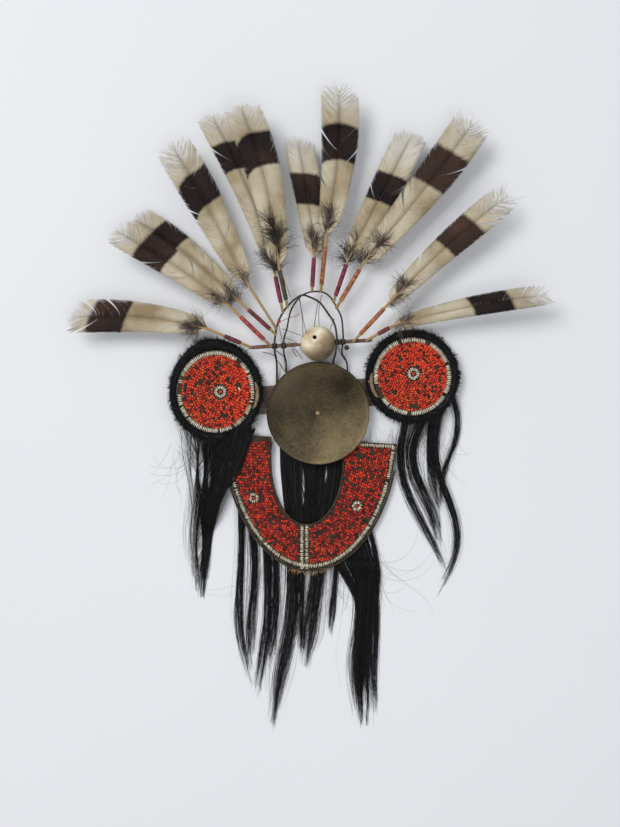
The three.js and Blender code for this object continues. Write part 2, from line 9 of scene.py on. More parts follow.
import bpy
import numpy as np
from mathutils import Euler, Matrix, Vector


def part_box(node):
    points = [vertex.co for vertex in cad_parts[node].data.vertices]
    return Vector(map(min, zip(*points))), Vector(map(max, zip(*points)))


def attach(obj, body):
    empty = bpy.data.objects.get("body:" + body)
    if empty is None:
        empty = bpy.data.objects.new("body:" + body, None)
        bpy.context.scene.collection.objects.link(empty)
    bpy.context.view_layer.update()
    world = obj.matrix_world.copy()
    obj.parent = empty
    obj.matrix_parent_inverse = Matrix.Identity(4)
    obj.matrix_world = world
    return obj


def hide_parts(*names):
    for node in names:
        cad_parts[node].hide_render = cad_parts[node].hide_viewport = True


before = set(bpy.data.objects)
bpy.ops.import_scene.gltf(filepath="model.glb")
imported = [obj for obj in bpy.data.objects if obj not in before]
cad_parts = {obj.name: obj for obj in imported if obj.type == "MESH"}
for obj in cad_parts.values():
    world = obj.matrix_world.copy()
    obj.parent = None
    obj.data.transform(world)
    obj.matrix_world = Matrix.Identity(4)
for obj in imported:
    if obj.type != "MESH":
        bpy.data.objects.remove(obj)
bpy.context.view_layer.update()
rng = np.random.default_rng(7)
MM = 0.001
GAP = 0.3
print("nodes", len(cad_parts))

# %% [markdown]
# Small things such as barbs, hairs and seeds come in thousands. Each kind is worked out as
# arrays and joined in one mesh, which is far quicker than adding objects one at a time.

# %% Helpers for joined meshes
def select_none():
    if bpy.context.mode != "OBJECT":
        bpy.ops.object.mode_set(mode="OBJECT")
    bpy.ops.object.select_all(action="DESELECT")


def paint(piece, material):
    piece.data.materials.clear()
    piece.data.materials.append(material)


def dress(piece, material, nodes=()):
    paint(piece, material)
    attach(piece, "root")
    if nodes:
        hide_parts(*nodes)
    return piece


def joined_mesh(name, points, faces, uv=None):
    """One smooth object from points in millimetres and triangles; uv has a pair per point."""
    mesh = bpy.data.meshes.new(name)
    mesh.from_pydata((points * MM).tolist(), [], faces.tolist())
    if uv is not None:
        layer = mesh.uv_layers.new(name="along")
        layer.data.foreach_set("uv", uv[faces.ravel()].astype(np.float32).ravel())
    mesh.polygons.foreach_set("use_smooth", [True] * len(faces))
    mesh.update()
    piece = bpy.data.objects.new(name, mesh)
    bpy.context.collection.objects.link(piece)
    print(name, len(faces), "triangles")
    return piece


class Heap:
    """Collects arrays of points, faces and uv pairs for one joined mesh."""

    def __init__(self):
        self.points, self.faces, self.uv, self.count = [], [], [], 0

    def add(self, points, faces, uv):
        self.points.append(points)
        self.faces.append(faces + self.count)
        self.uv.append(uv)
        self.count += len(points)

    def build(self, name):
        return joined_mesh(name, np.vstack(self.points), np.vstack(self.faces), np.vstack(self.uv))


def strips(paths, half, tall, first, second):
    """Closed three-sided strips along paths (n, k, 3), with half widths and heights (n, k)."""
    n, k, _ = paths.shape
    along = np.gradient(paths, axis=1)
    along /= np.linalg.norm(along, axis=2, keepdims=True) + 1e-9
    side = np.cross(along, np.array([0.0, 0.0, 1.0]))
    length = np.linalg.norm(side, axis=2, keepdims=True)
    side = np.where(length > 1e-3, side / (length + 1e-9), np.array([1.0, 0.0, 0.0]))
    normal = np.cross(side, along)
    w, h = half[..., None], tall[..., None]
    ring = np.stack([paths + side * w, paths - side * w, paths + normal * h], axis=2)
    start = (np.arange(n)[:, None] * k + np.arange(k - 1)[None, :]).ravel() * 3
    faces = []
    for i in range(3):
        j = (i + 1) % 3
        faces.append(np.stack([start + i, start + 3 + i, start + j], axis=1))
        faces.append(np.stack([start + j, start + 3 + i, start + 3 + j], axis=1))
    head = np.arange(n) * k * 3
    tail = head + (k - 1) * 3
    faces.append(np.stack([head, head + 1, head + 2], axis=1))
    faces.append(np.stack([tail, tail + 2, tail + 1], axis=1))
    uv = np.stack([np.repeat(first.ravel(), 3), np.repeat(second.ravel(), 3)], axis=1)
    return ring.reshape(-1, 3), np.vstack(faces), uv


def tube_faces(rows, sides):
    """Triangles of a closed tube whose points are its rings, then the middles of its ends."""
    faces = []
    hub, end, last = rows * sides, rows * sides + 1, (rows - 1) * sides
    for i in range(sides):
        j = (i + 1) % sides
        for a in range(0, last, sides):
            b = a + sides
            faces += [[a + i, b + i, a + j], [a + j, b + i, b + j]]
        faces += [[hub, i, j], [end, last + j, last + i]]
    return np.array(faces)


def rod_along(path, radius, sides=8):
    """A closed round rod along one path (k, 3), with one radius or one for each point."""
    k = len(path)
    radius = np.broadcast_to(radius, (k,))
    along = np.gradient(path, axis=0)
    along /= np.linalg.norm(along, axis=1, keepdims=True)
    up = np.array([0.0, 0.0, 1.0]) if abs(along[:, 2]).max() < 0.9 else np.array([0.0, 1.0, 0.0])
    side = np.cross(along, up)
    side /= np.linalg.norm(side, axis=1, keepdims=True)
    other = np.cross(side, along)
    turn = np.arange(sides) * 2 * math.pi / sides
    ring = (path[:, None] + radius[:, None, None] * (
        side[:, None] * np.cos(turn)[None, :, None] + other[:, None] * np.sin(turn)[None, :, None]))
    points = np.vstack([ring.reshape(-1, 3), path[:1], path[-1:]])
    share = np.repeat(np.linspace(0, 1, k), sides)
    uv = np.stack([np.append(share, [0, 1]), np.zeros(k * sides + 2)], axis=1)
    return points, tube_faces(k, sides), uv


def smooth_path(points, steps):
    """A rounded path through a few points (Catmull-Rom)."""
    p = np.array(points, float)
    p = np.vstack([2 * p[0] - p[1], p, 2 * p[-1] - p[-2]])
    spans = len(p) - 3
    out = []
    for u in np.linspace(0, spans, steps):
        i = min(int(u), spans - 1)
        t = u - i
        a, b, c, d = p[i:i + 4]
        out.append(0.5 * (2 * b + (c - a) * t + (2 * a - 5 * b + 4 * c - d) * t * t
                          + (3 * b - a - 3 * c + d) * t ** 3))
    return np.array(out)


def ease(value):
    t = np.clip(value, 0, 1)
    return t * t * (3 - 2 * t)


# %% [markdown]
# Materials are trees of nodes. One helper adds a node, sets it and joins its inputs, and a few
# more give the sums, ranges and mixes that come up in most finishes.

# %% Helpers for materials
def add_node(tree, kind, values=(), **settings):
    """A shader node; each value is a number, or the socket that feeds the input."""
    node = tree.nodes.new("ShaderNode" + kind)
    for title, value in settings.items():
        setattr(node, title, value)
    for title, value in dict(values).items():
        if isinstance(value, bpy.types.NodeSocket):
            tree.links.new(value, node.inputs[title])
        else:
            node.inputs[title].default_value = value
    return node


def calculate(tree, operation, *terms):
    return add_node(tree, "Math", enumerate(terms), operation=operation).outputs["Value"]


def remap(tree, value, low, high, to_low=0.0, to_high=1.0):
    return add_node(tree, "MapRange", {"Value": value, "From Min": low, "From Max": high,
                                       "To Min": to_low, "To Max": to_high}).outputs["Result"]


def mix_colours(tree, share, first, second, way="MIX"):
    values = {0: share, 6: first, 7: second}
    return add_node(tree, "Mix", values, data_type="RGBA", blend_type=way).outputs[2]


def ramp_of(tree, value, stops):
    ramp = add_node(tree, "ValToRGB", {"Fac": value})
    while len(ramp.color_ramp.elements) < len(stops):
        ramp.color_ramp.elements.new(0.5)
    for element, (place, colour) in zip(ramp.color_ramp.elements, stops):
        element.position = place
        element.color = (*colour, 1)
    return ramp


def uv_pair(tree):
    """The two numbers of each point's uv pair."""
    uv = add_node(tree, "UVMap", uv_map="along")
    split = add_node(tree, "SeparateXYZ", {"Vector": uv.outputs["UV"]})
    return split.outputs["X"], split.outputs["Y"]


print("material helpers ready")

# %% [markdown]
# Most surfaces here share one effect: uneven colour and a fine grain. One node group makes
# it, with a mask for the colour and a height for the bump, and every material sets its own
# scales. The shader itself stays in each material.

# %% Shared surface group
def uneven_group():
    tree = bpy.data.node_groups.new("uneven_surface", "ShaderNodeTree")
    for title, start in (("Patch Scale", 20.0), ("Grain Scale", 600.0), ("Grain Share", 0.4)):
        socket = tree.interface.new_socket(title, in_out="INPUT", socket_type="NodeSocketFloat")
        socket.default_value = start
    for title in ("Mask", "Height"):
        tree.interface.new_socket(title, in_out="OUTPUT", socket_type="NodeSocketFloat")
    given, given_back = tree.nodes.new("NodeGroupInput"), tree.nodes.new("NodeGroupOutput")
    place = add_node(tree, "TexCoord").outputs["Object"]
    patch, grain = (add_node(tree, "TexNoise", {"Vector": place, "Scale": given.outputs[title],
                                                "Detail": detail}).outputs["Fac"]
                    for title, detail in (("Patch Scale", 5), ("Grain Scale", 3)))
    mask = add_node(tree, "Mix", {0: given.outputs["Grain Share"], 2: patch, 3: grain}).outputs[0]
    tree.links.new(mask, given_back.inputs["Mask"])
    tree.links.new(grain, given_back.inputs["Height"])
    return tree


UNEVEN = uneven_group()


def uneven_material(name, stops, rough, patch=20, grain=600, share=0.4, bump=0.2, depth=0.0005,
                    finish=()):
    """Colour from a ramp over the uneven mask, roughness range and bump from the grain."""
    material = bpy.data.materials.new(name)
    material.use_nodes = True
    tree = material.node_tree
    surface = add_node(tree, "Group", node_tree=UNEVEN, name="surface")
    for title, value in (("Patch Scale", patch), ("Grain Scale", grain), ("Grain Share", share)):
        surface.inputs[title].default_value = value
    mask = surface.outputs["Mask"]
    ramp = ramp_of(tree, mask, stops)
    ramp.name = "colour"
    relief = add_node(tree, "Bump", {"Strength": bump, "Distance": depth,
                                     "Height": surface.outputs["Height"]}, name="relief")
    shader = tree.nodes["Principled BSDF"]
    for title, socket in (("Base Color", ramp.outputs["Color"]), ("Normal", relief.outputs["Normal"]),
                          ("Roughness", remap(tree, mask, 0.3, 0.7, *rough))):
        tree.links.new(socket, shader.inputs[title])
    for title, value in dict(finish).items():
        shader.inputs[title].default_value = value
    return material


print("shared group", UNEVEN.name)

# %% [markdown]
# A tail feather is a tapering shaft with a row of barbs on each side. The barbs lean toward
# the tip, cling to each other, and part here and there in a split. At the tip they fray, and
# at the base they turn to loose down. Each barb is a thin closed strip, so splits and frayed
# edges are real shapes. The uv map holds the place relative to the dark bar and the kind.

# %% Feather sizes
VANE_LENGTH, VANE_WIDTH, VANE_CAMBER = 280.0, 66.0, 2.4
QUILL_LENGTH, QUILL_RADIUS = 90.0, 2.4
SECTION_START = 4.0
BARBS = 190
BARB_LEAN, TIP_LEAN = 44, 26
OUTLINE_ALONG = [0.0, 0.04, 0.15, 0.3, 0.45, 0.6, 0.75, 0.87, 0.95, 1.0]
OUTLINE_HALF = [0.16, 0.36, 0.58, 0.75, 0.86, 0.96, 1.0, 1.0, 0.98, 0.96]

# name: bearing, rise, quill, vane, width, sway, late (as in the part), then the bar's two ends
# and the tip's end along the vane, a sideways bow, how far the bar drops at the left and
# right edge, how frayed the tip is, and how dark the down is
FEATHERS = {
    "1": (-67, 1.7, 0.92, 0.845, 0.97, -0.362, 1.15, 0.6, 0.86, 1.0, 0.045, (0.01, 0.01), 1.0, 0.6),
    "2_front": (-46, 3.5, 1.16, 0.84, 0.85, -0.2, 1.2, 0.555, 0.8, 1.02, 0.02, (0.02, 0.0), 1.0, 0.35),
    "2_back": (-48, -2.5, 1.03, 0.9, 0.9, -0.12, 1.3, 0.56, 0.77, 0.94, 0.05, (0.0, 0.02), 1.0, 0.3),
    "3": (-32.7, 2.3, 1.08, 0.99, 1.02, 0.045, 1.5, 0.55, 0.78, 1.02, 0.036, (0.055, -0.01), 0.9, 0.15),
    "4_front": (-12.3, 3.2, 0.8, 1.06, 1.0, -0.065, 1.5, 0.605, 0.815, 1.0, 0.06, (0.06, 0.01), 0.3, 1.0),
    "4_back": (-11.6, -1, 0.9, 1.05, 0.95, -0.21, 1.4, 0.63, 0.81, 1.0, 0.03, (0.02, 0.02), 0.5, 0.6),
    "5_back": (3.4, -1.5, 0.7, 0.78, 0.85, -0.2, 1.3, 0.42, 0.68, 0.97, 0.0, (0.0, 0.02), 0.9, 0.45),
    "5_front": (5.5, 3.6, 1.12, 0.96, 1.03, -0.05, 1.8, 0.5, 0.745, 0.99, 0.05, (0.04, 0.03), 2.3, 0.5),
    "6": (19, 1, 0.84, 0.97, 0.9, 0.12, 1.3, 0.436, 0.636, 0.95, 0.03, (0.0, 0.01), 0.5, 0.5),
    "7": (31, 3.6, 1.03, 1.2, 1.05, 0.083, 1.3, 0.523, 0.743, 0.95, 0.05, (0.0, 0.0), 1.5, 0.55),
    "8": (42.9, 3, 1.03, 1.03, 0.82, 0.1, 1.3, 0.482, 0.72, 1.0, -0.015, (0.01, 0.0), 2.1, 0.45),
    "9": (61, 5, 0.6, 0.97, 0.62, 0.34, 1.1, 0.506, 0.758, 0.99, -0.02, (0.01, 0.01), 1.3, 0.3),
}

# Two bars are faded to brown, and two others a little
BROWNER = {"7": 1.0, "8": 0.9, "2_front": 0.45, "1": 0.5}

# The uv map's second number: up to BROWN_MARK on barbs, SHAFT_MARK on the shaft, 1 to 2 on down
BROWN_MARK, SHAFT_MARK = 0.12, 0.3
print("feathers", len(FEATHERS))

# %% Feather materials
def feather_material():
    """Cream barbs with one dark bar, from the uv map: u runs from 0 to 1 over the bar."""
    cream = [(0.36, (0.38, 0.295, 0.17)), (0.5, (0.54, 0.455, 0.315)), (0.64, (0.66, 0.59, 0.455))]
    sooty = [(0.35, (0.008, 0.006, 0.006)), (0.55, (0.028, 0.017, 0.014)), (0.7, (0.08, 0.04, 0.026))]
    downy = [(0.0, (0.45, 0.4, 0.33)), (0.5, (0.14, 0.11, 0.088)), (1.0, (0.022, 0.016, 0.013))]
    added_brown, shaft_tan, bleached = (0.034, 0.018, 0.012, 1), (0.40, 0.26, 0.11, 1), (0.74, 0.70, 0.62, 1)
    material = uneven_material("feather_barbs", cream, (0.6, 0.85), patch=16, grain=350, share=0.15,
                               bump=0.18, depth=0.0003, finish={"Specular IOR Level": 0.2})
    tree = material.node_tree
    place, kind = uv_pair(tree)
    bar = calculate(tree, "MULTIPLY", remap(tree, place, -0.03, 0.05), remap(tree, place, 1.04, 0.94))
    dark = ramp_of(tree, tree.nodes["surface"].outputs["Mask"], sooty).outputs["Color"]
    dark = mix_colours(tree, remap(tree, kind, 0, BROWN_MARK), dark, added_brown, "ADD")
    on_shaft = calculate(tree, "COMPARE", kind, SHAFT_MARK, 0.1)
    pale = mix_colours(tree, on_shaft, tree.nodes["colour"].outputs["Color"], shaft_tan)
    pale = mix_colours(tree, remap(tree, place, 1.0, 1.9, 0.0, 0.85), pale, bleached)
    barred = mix_colours(tree, bar, pale, dark)
    down = ramp_of(tree, calculate(tree, "SUBTRACT", kind, 1.0), downy).outputs["Color"]
    colour = mix_colours(tree, calculate(tree, "GREATER_THAN", kind, 0.9), barred, down)
    tree.links.new(colour, tree.nodes["Principled BSDF"].inputs["Base Color"])
    return material


PLUME = feather_material()
print("material", PLUME.name)

# %% [markdown]
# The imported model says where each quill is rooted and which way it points. A feather is made
# along its own upright line first, and then tilted, turned and moved to that place.

# %% Find each quill's root
def quill_root(node, bearing):
    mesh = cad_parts[node].data
    points = np.array([v.co for v in mesh.vertices]) / MM
    heading = np.array([math.sin(math.radians(bearing)), math.cos(math.radians(bearing)), 0])
    reach = points @ heading
    return points[reach < reach.min() + 0.6].mean(0) + heading * SECTION_START


def to_scene(points, name):
    bearing, rise = FEATHERS[name][:2]
    tilt = Euler((math.radians(rise), 0, 0)).to_matrix()
    swing = Euler((0, 0, math.radians(-bearing))).to_matrix()
    return points @ np.array(swing @ tilt).T + quill_root(f"feather_{name}", bearing)


print("root of feather 3", quill_root("feather_3", FEATHERS["3"][0]).round(1))

# %% [markdown]
# Each side of a vane is one array of barbs. They could be drawn on a flat blade, but then the
# splits, the frayed tip and the light along each barb would be missing, so each is a strip.

# %% One feather
def feather_piece(name):
    quill, vane, width, sway, late, bar_from, bar_to, tip, bow, drop, fray, dark = FEATHERS[name][2:]
    quill, vane, half = QUILL_LENGTH * quill, VANE_LENGTH * vane, VANE_WIDTH * width / 2
    heap = Heap()

    def across_at(s):
        s = np.clip(s, 0, 1.2)
        return vane * (sway * s ** late + bow * np.sin(0.75 * math.pi * s))

    def shaft_at(s):
        thick = QUILL_RADIUS * np.clip(1 - 0.92 * np.clip(s, 0, 1), 0.08, 1)
        return np.stack([across_at(s), quill + vane * s, thick * 0.3], axis=-1)

    def bar_place(s):
        return (s - bar_from) / (bar_to - bar_from)

    # s is the share along the vane: 0 at its foot, about 1 at its tip, and below 0 on the quill
    s = np.concatenate([np.linspace(-quill / vane - 0.01, 0, 4), np.linspace(0.04, tip - 0.04, 26)])
    radius = QUILL_RADIUS * np.interp(s, [-0.4, 0, 0.12, 0.9], [1, 1, 0.5, 0.12])
    points, faces, _ = rod_along(shaft_at(s) * [1, 1, 0], radius)
    share = np.append(np.repeat(s, 8), [s[0], s[-1]])
    heap.add(points, faces, np.stack([bar_place(share), np.full(len(share), SHAFT_MARK)], axis=1))

    # q is the share along each barb, from the shaft to the edge
    q = np.linspace(0, 1, 5)[None, :]
    for side, fall in zip((-1, 1), drop):
        s = np.linspace(0.01, tip - 0.035, BARBS) + rng.normal(0, 0.0005, BARBS)
        angle = BARB_LEAN + rng.normal(0, 0.4, BARBS) - TIP_LEAN * ease((s - tip + 0.12) / 0.085)
        for _ in range(rng.integers(1, 3)):
            split, amount = rng.uniform(0.2, 0.9), rng.uniform(1.5, 4.5) * fray ** 0.5
            angle -= np.sign(s - split) * amount * np.exp(-np.abs(s - split) / 0.03)
        loose = ease((s - 0.77) / 0.2) * fray
        angle += rng.normal(0, 1, BARBS) * 6 * loose + 7 * loose
        angle = np.radians(np.clip(angle, 12, 82))
        width_here = np.interp(s + 0.11, OUTLINE_ALONG, OUTLINE_HALF) * half
        ragged = rng.normal(0, 0.012, BARBS) - np.abs(rng.normal(0, 0.1, BARBS)) * loose
        reach = width_here * (1 + ragged)
        forward = reach / np.tan(angle)
        end = tip - 0.01 + 0.016 * fray * rng.normal(0, 0.6, BARBS) + 0.008 * np.sin(s * 90)
        end -= 0.045 * ease((tip - 0.03 - s) / 0.17)
        short = np.clip((end - s) * vane / forward, 0.12, 1)
        reach, forward = reach * short, forward * short
        start = shaft_at(s)
        curl = rng.normal(0, 0.09, (BARBS, 1)) * (loose * reach)[:, None]
        base_s = s[:, None] + (forward / vane)[:, None] * q ** 1.25
        drift = across_at(base_s) - across_at(s)[:, None]
        x = start[:, None, 0] + side * reach[:, None] * q ** 0.9 + drift * 0.9
        y = start[:, None, 1] + forward[:, None] * q ** 1.25 + curl * np.sin(math.pi * q)
        layer = (np.arange(BARBS) % 2 * 0.14)[:, None]
        lift = layer + rng.normal(0, 1, (BARBS, 1)) * (0.1 + loose[:, None]) * q
        wave = 1.6 * np.sin(s * 11 + side)[:, None] * q ** 2
        camber = VANE_CAMBER * ease(s * 4)[:, None] * q ** 1.8
        z = 0.3 - camber + lift + wave + 0.9 * np.sin(math.pi * q)
        spacing = vane * 0.95 / BARBS * np.sin(angle)
        wide = np.repeat((spacing * (0.8 - 0.3 * np.clip(loose, 0, 1)))[:, None], q.size, 1)
        wide[:, -1] *= 0.35
        edge = (reach / width_here)[:, None] * q
        first = bar_place(base_s + fall * edge ** 2 + rng.normal(0, 0.002, (BARBS, 1)))
        mark = np.full_like(wide, BROWNER.get(name, 0) * BROWN_MARK)
        heap.add(*strips(np.stack([x, y, z], axis=2), wide, np.full_like(wide, 0.3), first, mark))

    add_down(heap, shaft_at, dark)
    heap.points = [to_scene(p, name) for p in heap.points]
    return dress(heap.build(f"barbs_{name}"), PLUME, [f"feather_{name}"])


def add_down(heap, shaft_at, dark):
    """Loose tufts of curling down at the foot of the vane, more of them where it is dark."""
    count, k, tufts = int(100 + 380 * dark), 6, 7
    q = np.linspace(0, 1, k)[None, :]
    tuft = rng.integers(0, tufts, count)
    s = rng.uniform(-0.03, 0.05 + 0.2 * dark, tufts)[tuft] + rng.normal(0, 0.015, count)
    start = shaft_at(s)
    heading = (rng.uniform(0.1, 1.2, tufts) * rng.choice([-1, 1], tufts))[tuft]
    heading = heading + rng.normal(0, 0.3, count)
    reach = rng.uniform(7, 25, count) * (0.8 + 0.85 * dark)
    steer = heading[:, None] + rng.normal(0, 0.6, tufts)[tuft][:, None] * q
    steer = steer + rng.normal(0, 0.9, (count, 1)) * q ** 1.5
    step = reach[:, None] / (k - 1)
    x = start[:, None, 0] + np.cumsum(np.sin(steer) * step, axis=1)
    y = start[:, None, 1] + np.cumsum(np.cos(steer) * step, axis=1)
    z = 0.9 + rng.uniform(-1.5, 4.5, (count, 1)) * q
    wide = np.full((count, k), 0.28) * (1 - 0.6 * q)
    soot = np.clip(0.35 + 0.6 * dark + rng.normal(0, 0.2, (count, 1)), 0.0, 1)
    paths = np.stack([x, y, z], axis=2)
    heap.add(*strips(paths, wide, wide * 0.8, np.full((count, k), -2.0), 1 + soot * np.ones_like(q)))


for feather_name in FEATHERS:
    feather_piece(feather_name)


# %% [markdown]
# The quills are bound with dyed thread. A bound stretch is a sleeve whose surface rises and
# falls once for each turn of the thread, and the turns climb along it as a screw does.

# %% Thread bindings
THREAD_COLOURS = {
    "red": (0.34, 0.045, 0.035), "dark_red": (0.13, 0.02, 0.02), "magenta": (0.17, 0.014, 0.038),
    "orange": (0.34, 0.115, 0.035), "olive": (0.045, 0.04, 0.02),
}
# Where each binding starts and ends along its quill, and its thread
WRAPS = {
    "1": (0.24, 0.62, "dark_red"), "2_front": (0.16, 0.72, "red"), "2_back": (0.14, 0.7, "dark_red"),
    "4_front": (0.16, 0.9, "olive"), "4_back": (0.22, 0.8, "magenta"), "5_back": (0.14, 0.95, "magenta"),
    "5_front": (0.12, 0.8, "orange"), "6": (0.14, 0.92, "magenta"), "7": (0.14, 0.85, "orange"),
    "8": (0.18, 0.85, "orange"), "9": (0.42, 0.85, "dark_red"),
}
TURN_PITCH, BINDING_RADIUS, BINDING_SIDES = 1.3, 3.1, 12


def thread_material(name, colour):
    stops = [(0.42, tuple(c * 0.3 for c in colour)), (0.5, colour),
             (0.6, tuple(min(c * 1.5 + 0.03, 1) for c in colour))]
    return uneven_material(f"thread_{name}", stops, (0.6, 0.9), patch=150, grain=1100, share=0.5, bump=0.4)


THREADS = {name: thread_material(name, colour) for name, colour in THREAD_COLOURS.items()}


def binding(name):
    start, stop, thread = WRAPS[name]
    quill = QUILL_LENGTH * FEATHERS[name][2]
    low, high = quill * start, quill * stop
    rows, sides = int((high - low) / TURN_PITCH * 3), BINDING_SIDES
    along = np.linspace(low, high, rows)[:, None]
    turn = np.arange(sides) * 2 * math.pi / sides
    phase = along / TURN_PITCH - turn / (2 * math.pi)
    swell = 0.9 + 0.25 * np.sin(math.pi * (along - low) / (high - low))
    radius = BINDING_RADIUS + swell * (0.55 + 0.4 * np.abs(np.sin(math.pi * phase)))
    ring = np.stack([radius * np.cos(turn), np.repeat(along, sides, 1), radius * np.sin(turn)], axis=2)
    points = np.vstack([ring.reshape(-1, 3), [[0, low, 0], [0, high, 0]]])
    piece = joined_mesh(f"binding_{name}", to_scene(points, name), tube_faces(rows, sides))
    return dress(piece, THREADS[thread], [f"quill_wrap_{name}"])


for feather_name in WRAPS:
    binding(feather_name)


# %% [markdown]
# The disc is a turned form: half of its outline is drawn and spun round an axis. Spin can turn
# a shape inside out, so its normals are recalculated after.

# %% Turned pieces
def smooth_off(piece):
    """Smooth shading up to a sharp edge, with every modifier applied."""
    bpy.ops.object.shade_smooth_by_angle(angle=math.radians(40))
    for modifier in list(piece.modifiers):
        bpy.ops.object.modifier_apply(modifier=modifier.name)
    print(piece.name, len(piece.data.polygons), "faces")
    return piece


def turned(name, profile, middle, steps):
    """Spins a closed outline of (radius, height) in millimetres round a vertical axis."""
    select_none()
    mesh = bpy.data.meshes.new(name)
    x, y, z = middle
    points = [((x + r) * MM, y * MM, (z + h) * MM) for r, h in profile]
    mesh.from_pydata(points, [(i, i + 1) for i in range(len(points) - 1)], [])
    piece = bpy.data.objects.new(name, mesh)
    bpy.context.collection.objects.link(piece)
    bpy.context.view_layer.objects.active = piece
    piece.select_set(True)
    bpy.ops.object.mode_set(mode="EDIT")
    bpy.ops.mesh.select_all(action="SELECT")
    bpy.ops.mesh.spin(steps=steps, angle=2 * math.pi, center=(x * MM, y * MM, z * MM), axis=(0, 0, 1))
    bpy.ops.mesh.select_all(action="SELECT")
    bpy.ops.mesh.remove_doubles(threshold=1e-6)
    bpy.ops.mesh.normals_make_consistent(inside=False)
    bpy.ops.object.mode_set(mode="OBJECT")
    return smooth_off(piece)


BRASS_RADIUS, BRASS_WALL, BRASS_DOME, BRASS_DROP = 92.0, 1.5, 12.0, 30.6
DIMPLE_DEPTH, DIMPLE_REACH, LIP = 1.6, 9.0, 0.7
brass_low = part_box("brass_disc")[0].z / MM


def dome(r):
    share = r / BRASS_RADIUS
    dimple = DIMPLE_DEPTH * math.exp(-(r / DIMPLE_REACH) ** 2)
    lip = LIP * math.exp(-((share - 0.985) / 0.018) ** 2)
    return BRASS_DOME * (1 - share ** 2) - dimple + lip


def brass_disc():
    radii = [2.2, 4, 7, 10, 15, 22, 32, 44, 56, 68, 78, 85, 88.5, 90, 91.2]
    under = [(r, dome(r)) for r in radii]
    over = [(r, dome(r) + BRASS_WALL) for r in reversed(radii)]
    edge = [(BRASS_RADIUS, dome(91.5) + BRASS_WALL * 0.5)]
    return turned("disc", under + edge + over + under[:1], (0, -BRASS_DROP, brass_low), 128)


# %% [markdown]
# The brass is old: dull and scoured in fine rings. A painted reflection makes it darker at its upper
# left and brighter at its lower right, and the ball gets painted light and shade: paler at the upper
# left, darker at the lower right. A ramp across the piece is multiplied in, which keeps this
# painted light apart from the unevenness of the surface itself.

# %% Painted light and shade from one side to the other
def shade_across(material, middle, heading, reach, stops):
    """Multiply the colour by a ramp that runs across the piece: painted light and shade, lighter at one side.
    """
    tree = material.node_tree
    place = add_node(tree, "TexCoord").outputs["Object"]
    offset = add_node(tree, "VectorMath", {0: place, 1: [v * MM for v in middle]}, operation="SUBTRACT")
    across = add_node(tree, "VectorMath", {0: offset.outputs["Vector"], 1: heading},
                      operation="DOT_PRODUCT")
    # Painted light and shade: the ramp lightens one side of the piece and darkens the other
    shade = ramp_of(tree, remap(tree, across.outputs["Value"], *reach), stops).outputs["Color"]
    lit_and_shaded = mix_colours(tree, 1.0, tree.nodes["colour"].outputs["Color"], shade, "MULTIPLY")
    tree.links.new(lit_and_shaded, tree.nodes["Principled BSDF"].inputs["Base Color"])
    print("painted light and shade on", material.name)


# %% Aged brass, scoured in rings
def brass_material():
    stops = [(0.3, (0.035, 0.027, 0.015)), (0.46, (0.085, 0.066, 0.036)), (0.6, (0.17, 0.135, 0.07)),
             (0.75, (0.30, 0.24, 0.125))]
    material = uneven_material("aged_brass", stops, (0.34, 0.62), patch=14, grain=240, share=0.32,
                               bump=0.16, depth=0.0006, finish={"Metallic": 0.85})
    tree = material.node_tree
    place = add_node(tree, "TexCoord").outputs["Object"]
    centre = add_node(tree, "Mapping", {"Vector": place, "Location": (0, BRASS_DROP * MM, 0)})
    scoured = {"Vector": centre.outputs["Vector"], "Scale": 130, "Distortion": 3.5, "Detail": 3}
    rings = add_node(tree, "TexWave", scoured, wave_type="RINGS", rings_direction="Z")
    fine = add_node(tree, "Bump", {"Strength": 0.12, "Distance": 0.0004, "Height": rings.outputs["Fac"],
                                   "Normal": tree.nodes["relief"].outputs["Normal"]})
    tree.links.new(fine.outputs["Normal"], tree.nodes["Principled BSDF"].inputs["Normal"])
    return material


BRASS = brass_material()
# Painted reflection on the brass: darker at the upper left, brighter at the lower right
shade_across(BRASS, (0, -BRASS_DROP, 0), (0.45, -0.9, 0), (-0.05, 0.07),
             [(0.0, (0.42, 0.4, 0.38)), (0.45, (0.6, 0.59, 0.6)), (1.0, (1.6, 1.55, 1.6))])
dress(brass_disc(), BRASS, ["brass_disc"])

# %% [markdown]
# A stem of split cane comes up through the disc's hole and ends in a small knot. A few short
# bent rods that cross each other are enough to read as a knot at this size.

# %% The knot of split cane that holds the disc
KNOT_TOP = brass_low + BRASS_DOME + BRASS_WALL
KNOT_CANE = uneven_material("knot_cane", [(0.35, (0.20, 0.12, 0.045)), (0.5, (0.42, 0.28, 0.12)),
                                          (0.66, (0.62, 0.47, 0.24))], (0.5, 0.75), patch=200, grain=900)


def cane_knot():
    heap = Heap()
    stem = [[0, -BRASS_DROP, height] for height in (0.6, 12, KNOT_TOP + 1.5)]
    heap.add(*rod_along(smooth_path(stem, 6), 1.5))
    foot = np.array([[-4, -BRASS_DROP, 1.2], [0, -BRASS_DROP, 1.4], [4, -BRASS_DROP, 1.2]], float)
    heap.add(*rod_along(foot, 1.1))
    thick = np.array([0.5, 1.0, 1.25, 1.3, 1.35, 1.3, 1.25, 1.0, 0.5])
    for turn, reach, lift in ((0.5, 5.2, 0.2), (2.1, 4.6, 1.2), (2.9, 3.8, 2.2), (1.3, 3.4, 2.9)):
        u = np.linspace(-1, 1, len(thick))
        over = np.stack([math.cos(turn) * reach * u, math.sin(turn) * reach * u - BRASS_DROP,
                         KNOT_TOP + lift + 1.9 * (1 - u * u) - 0.6], axis=1)
        heap.add(*rod_along(over, thick))
    return heap.build("cane_knot")


dress(cane_knot(), KNOT_CANE, ["disc_knot"])

# %% [markdown]
# The ball is a hollow shell. A sphere gets a wall with Solidify, then boolean cuts make the
# round hole in front and the bore that the rod passes through.

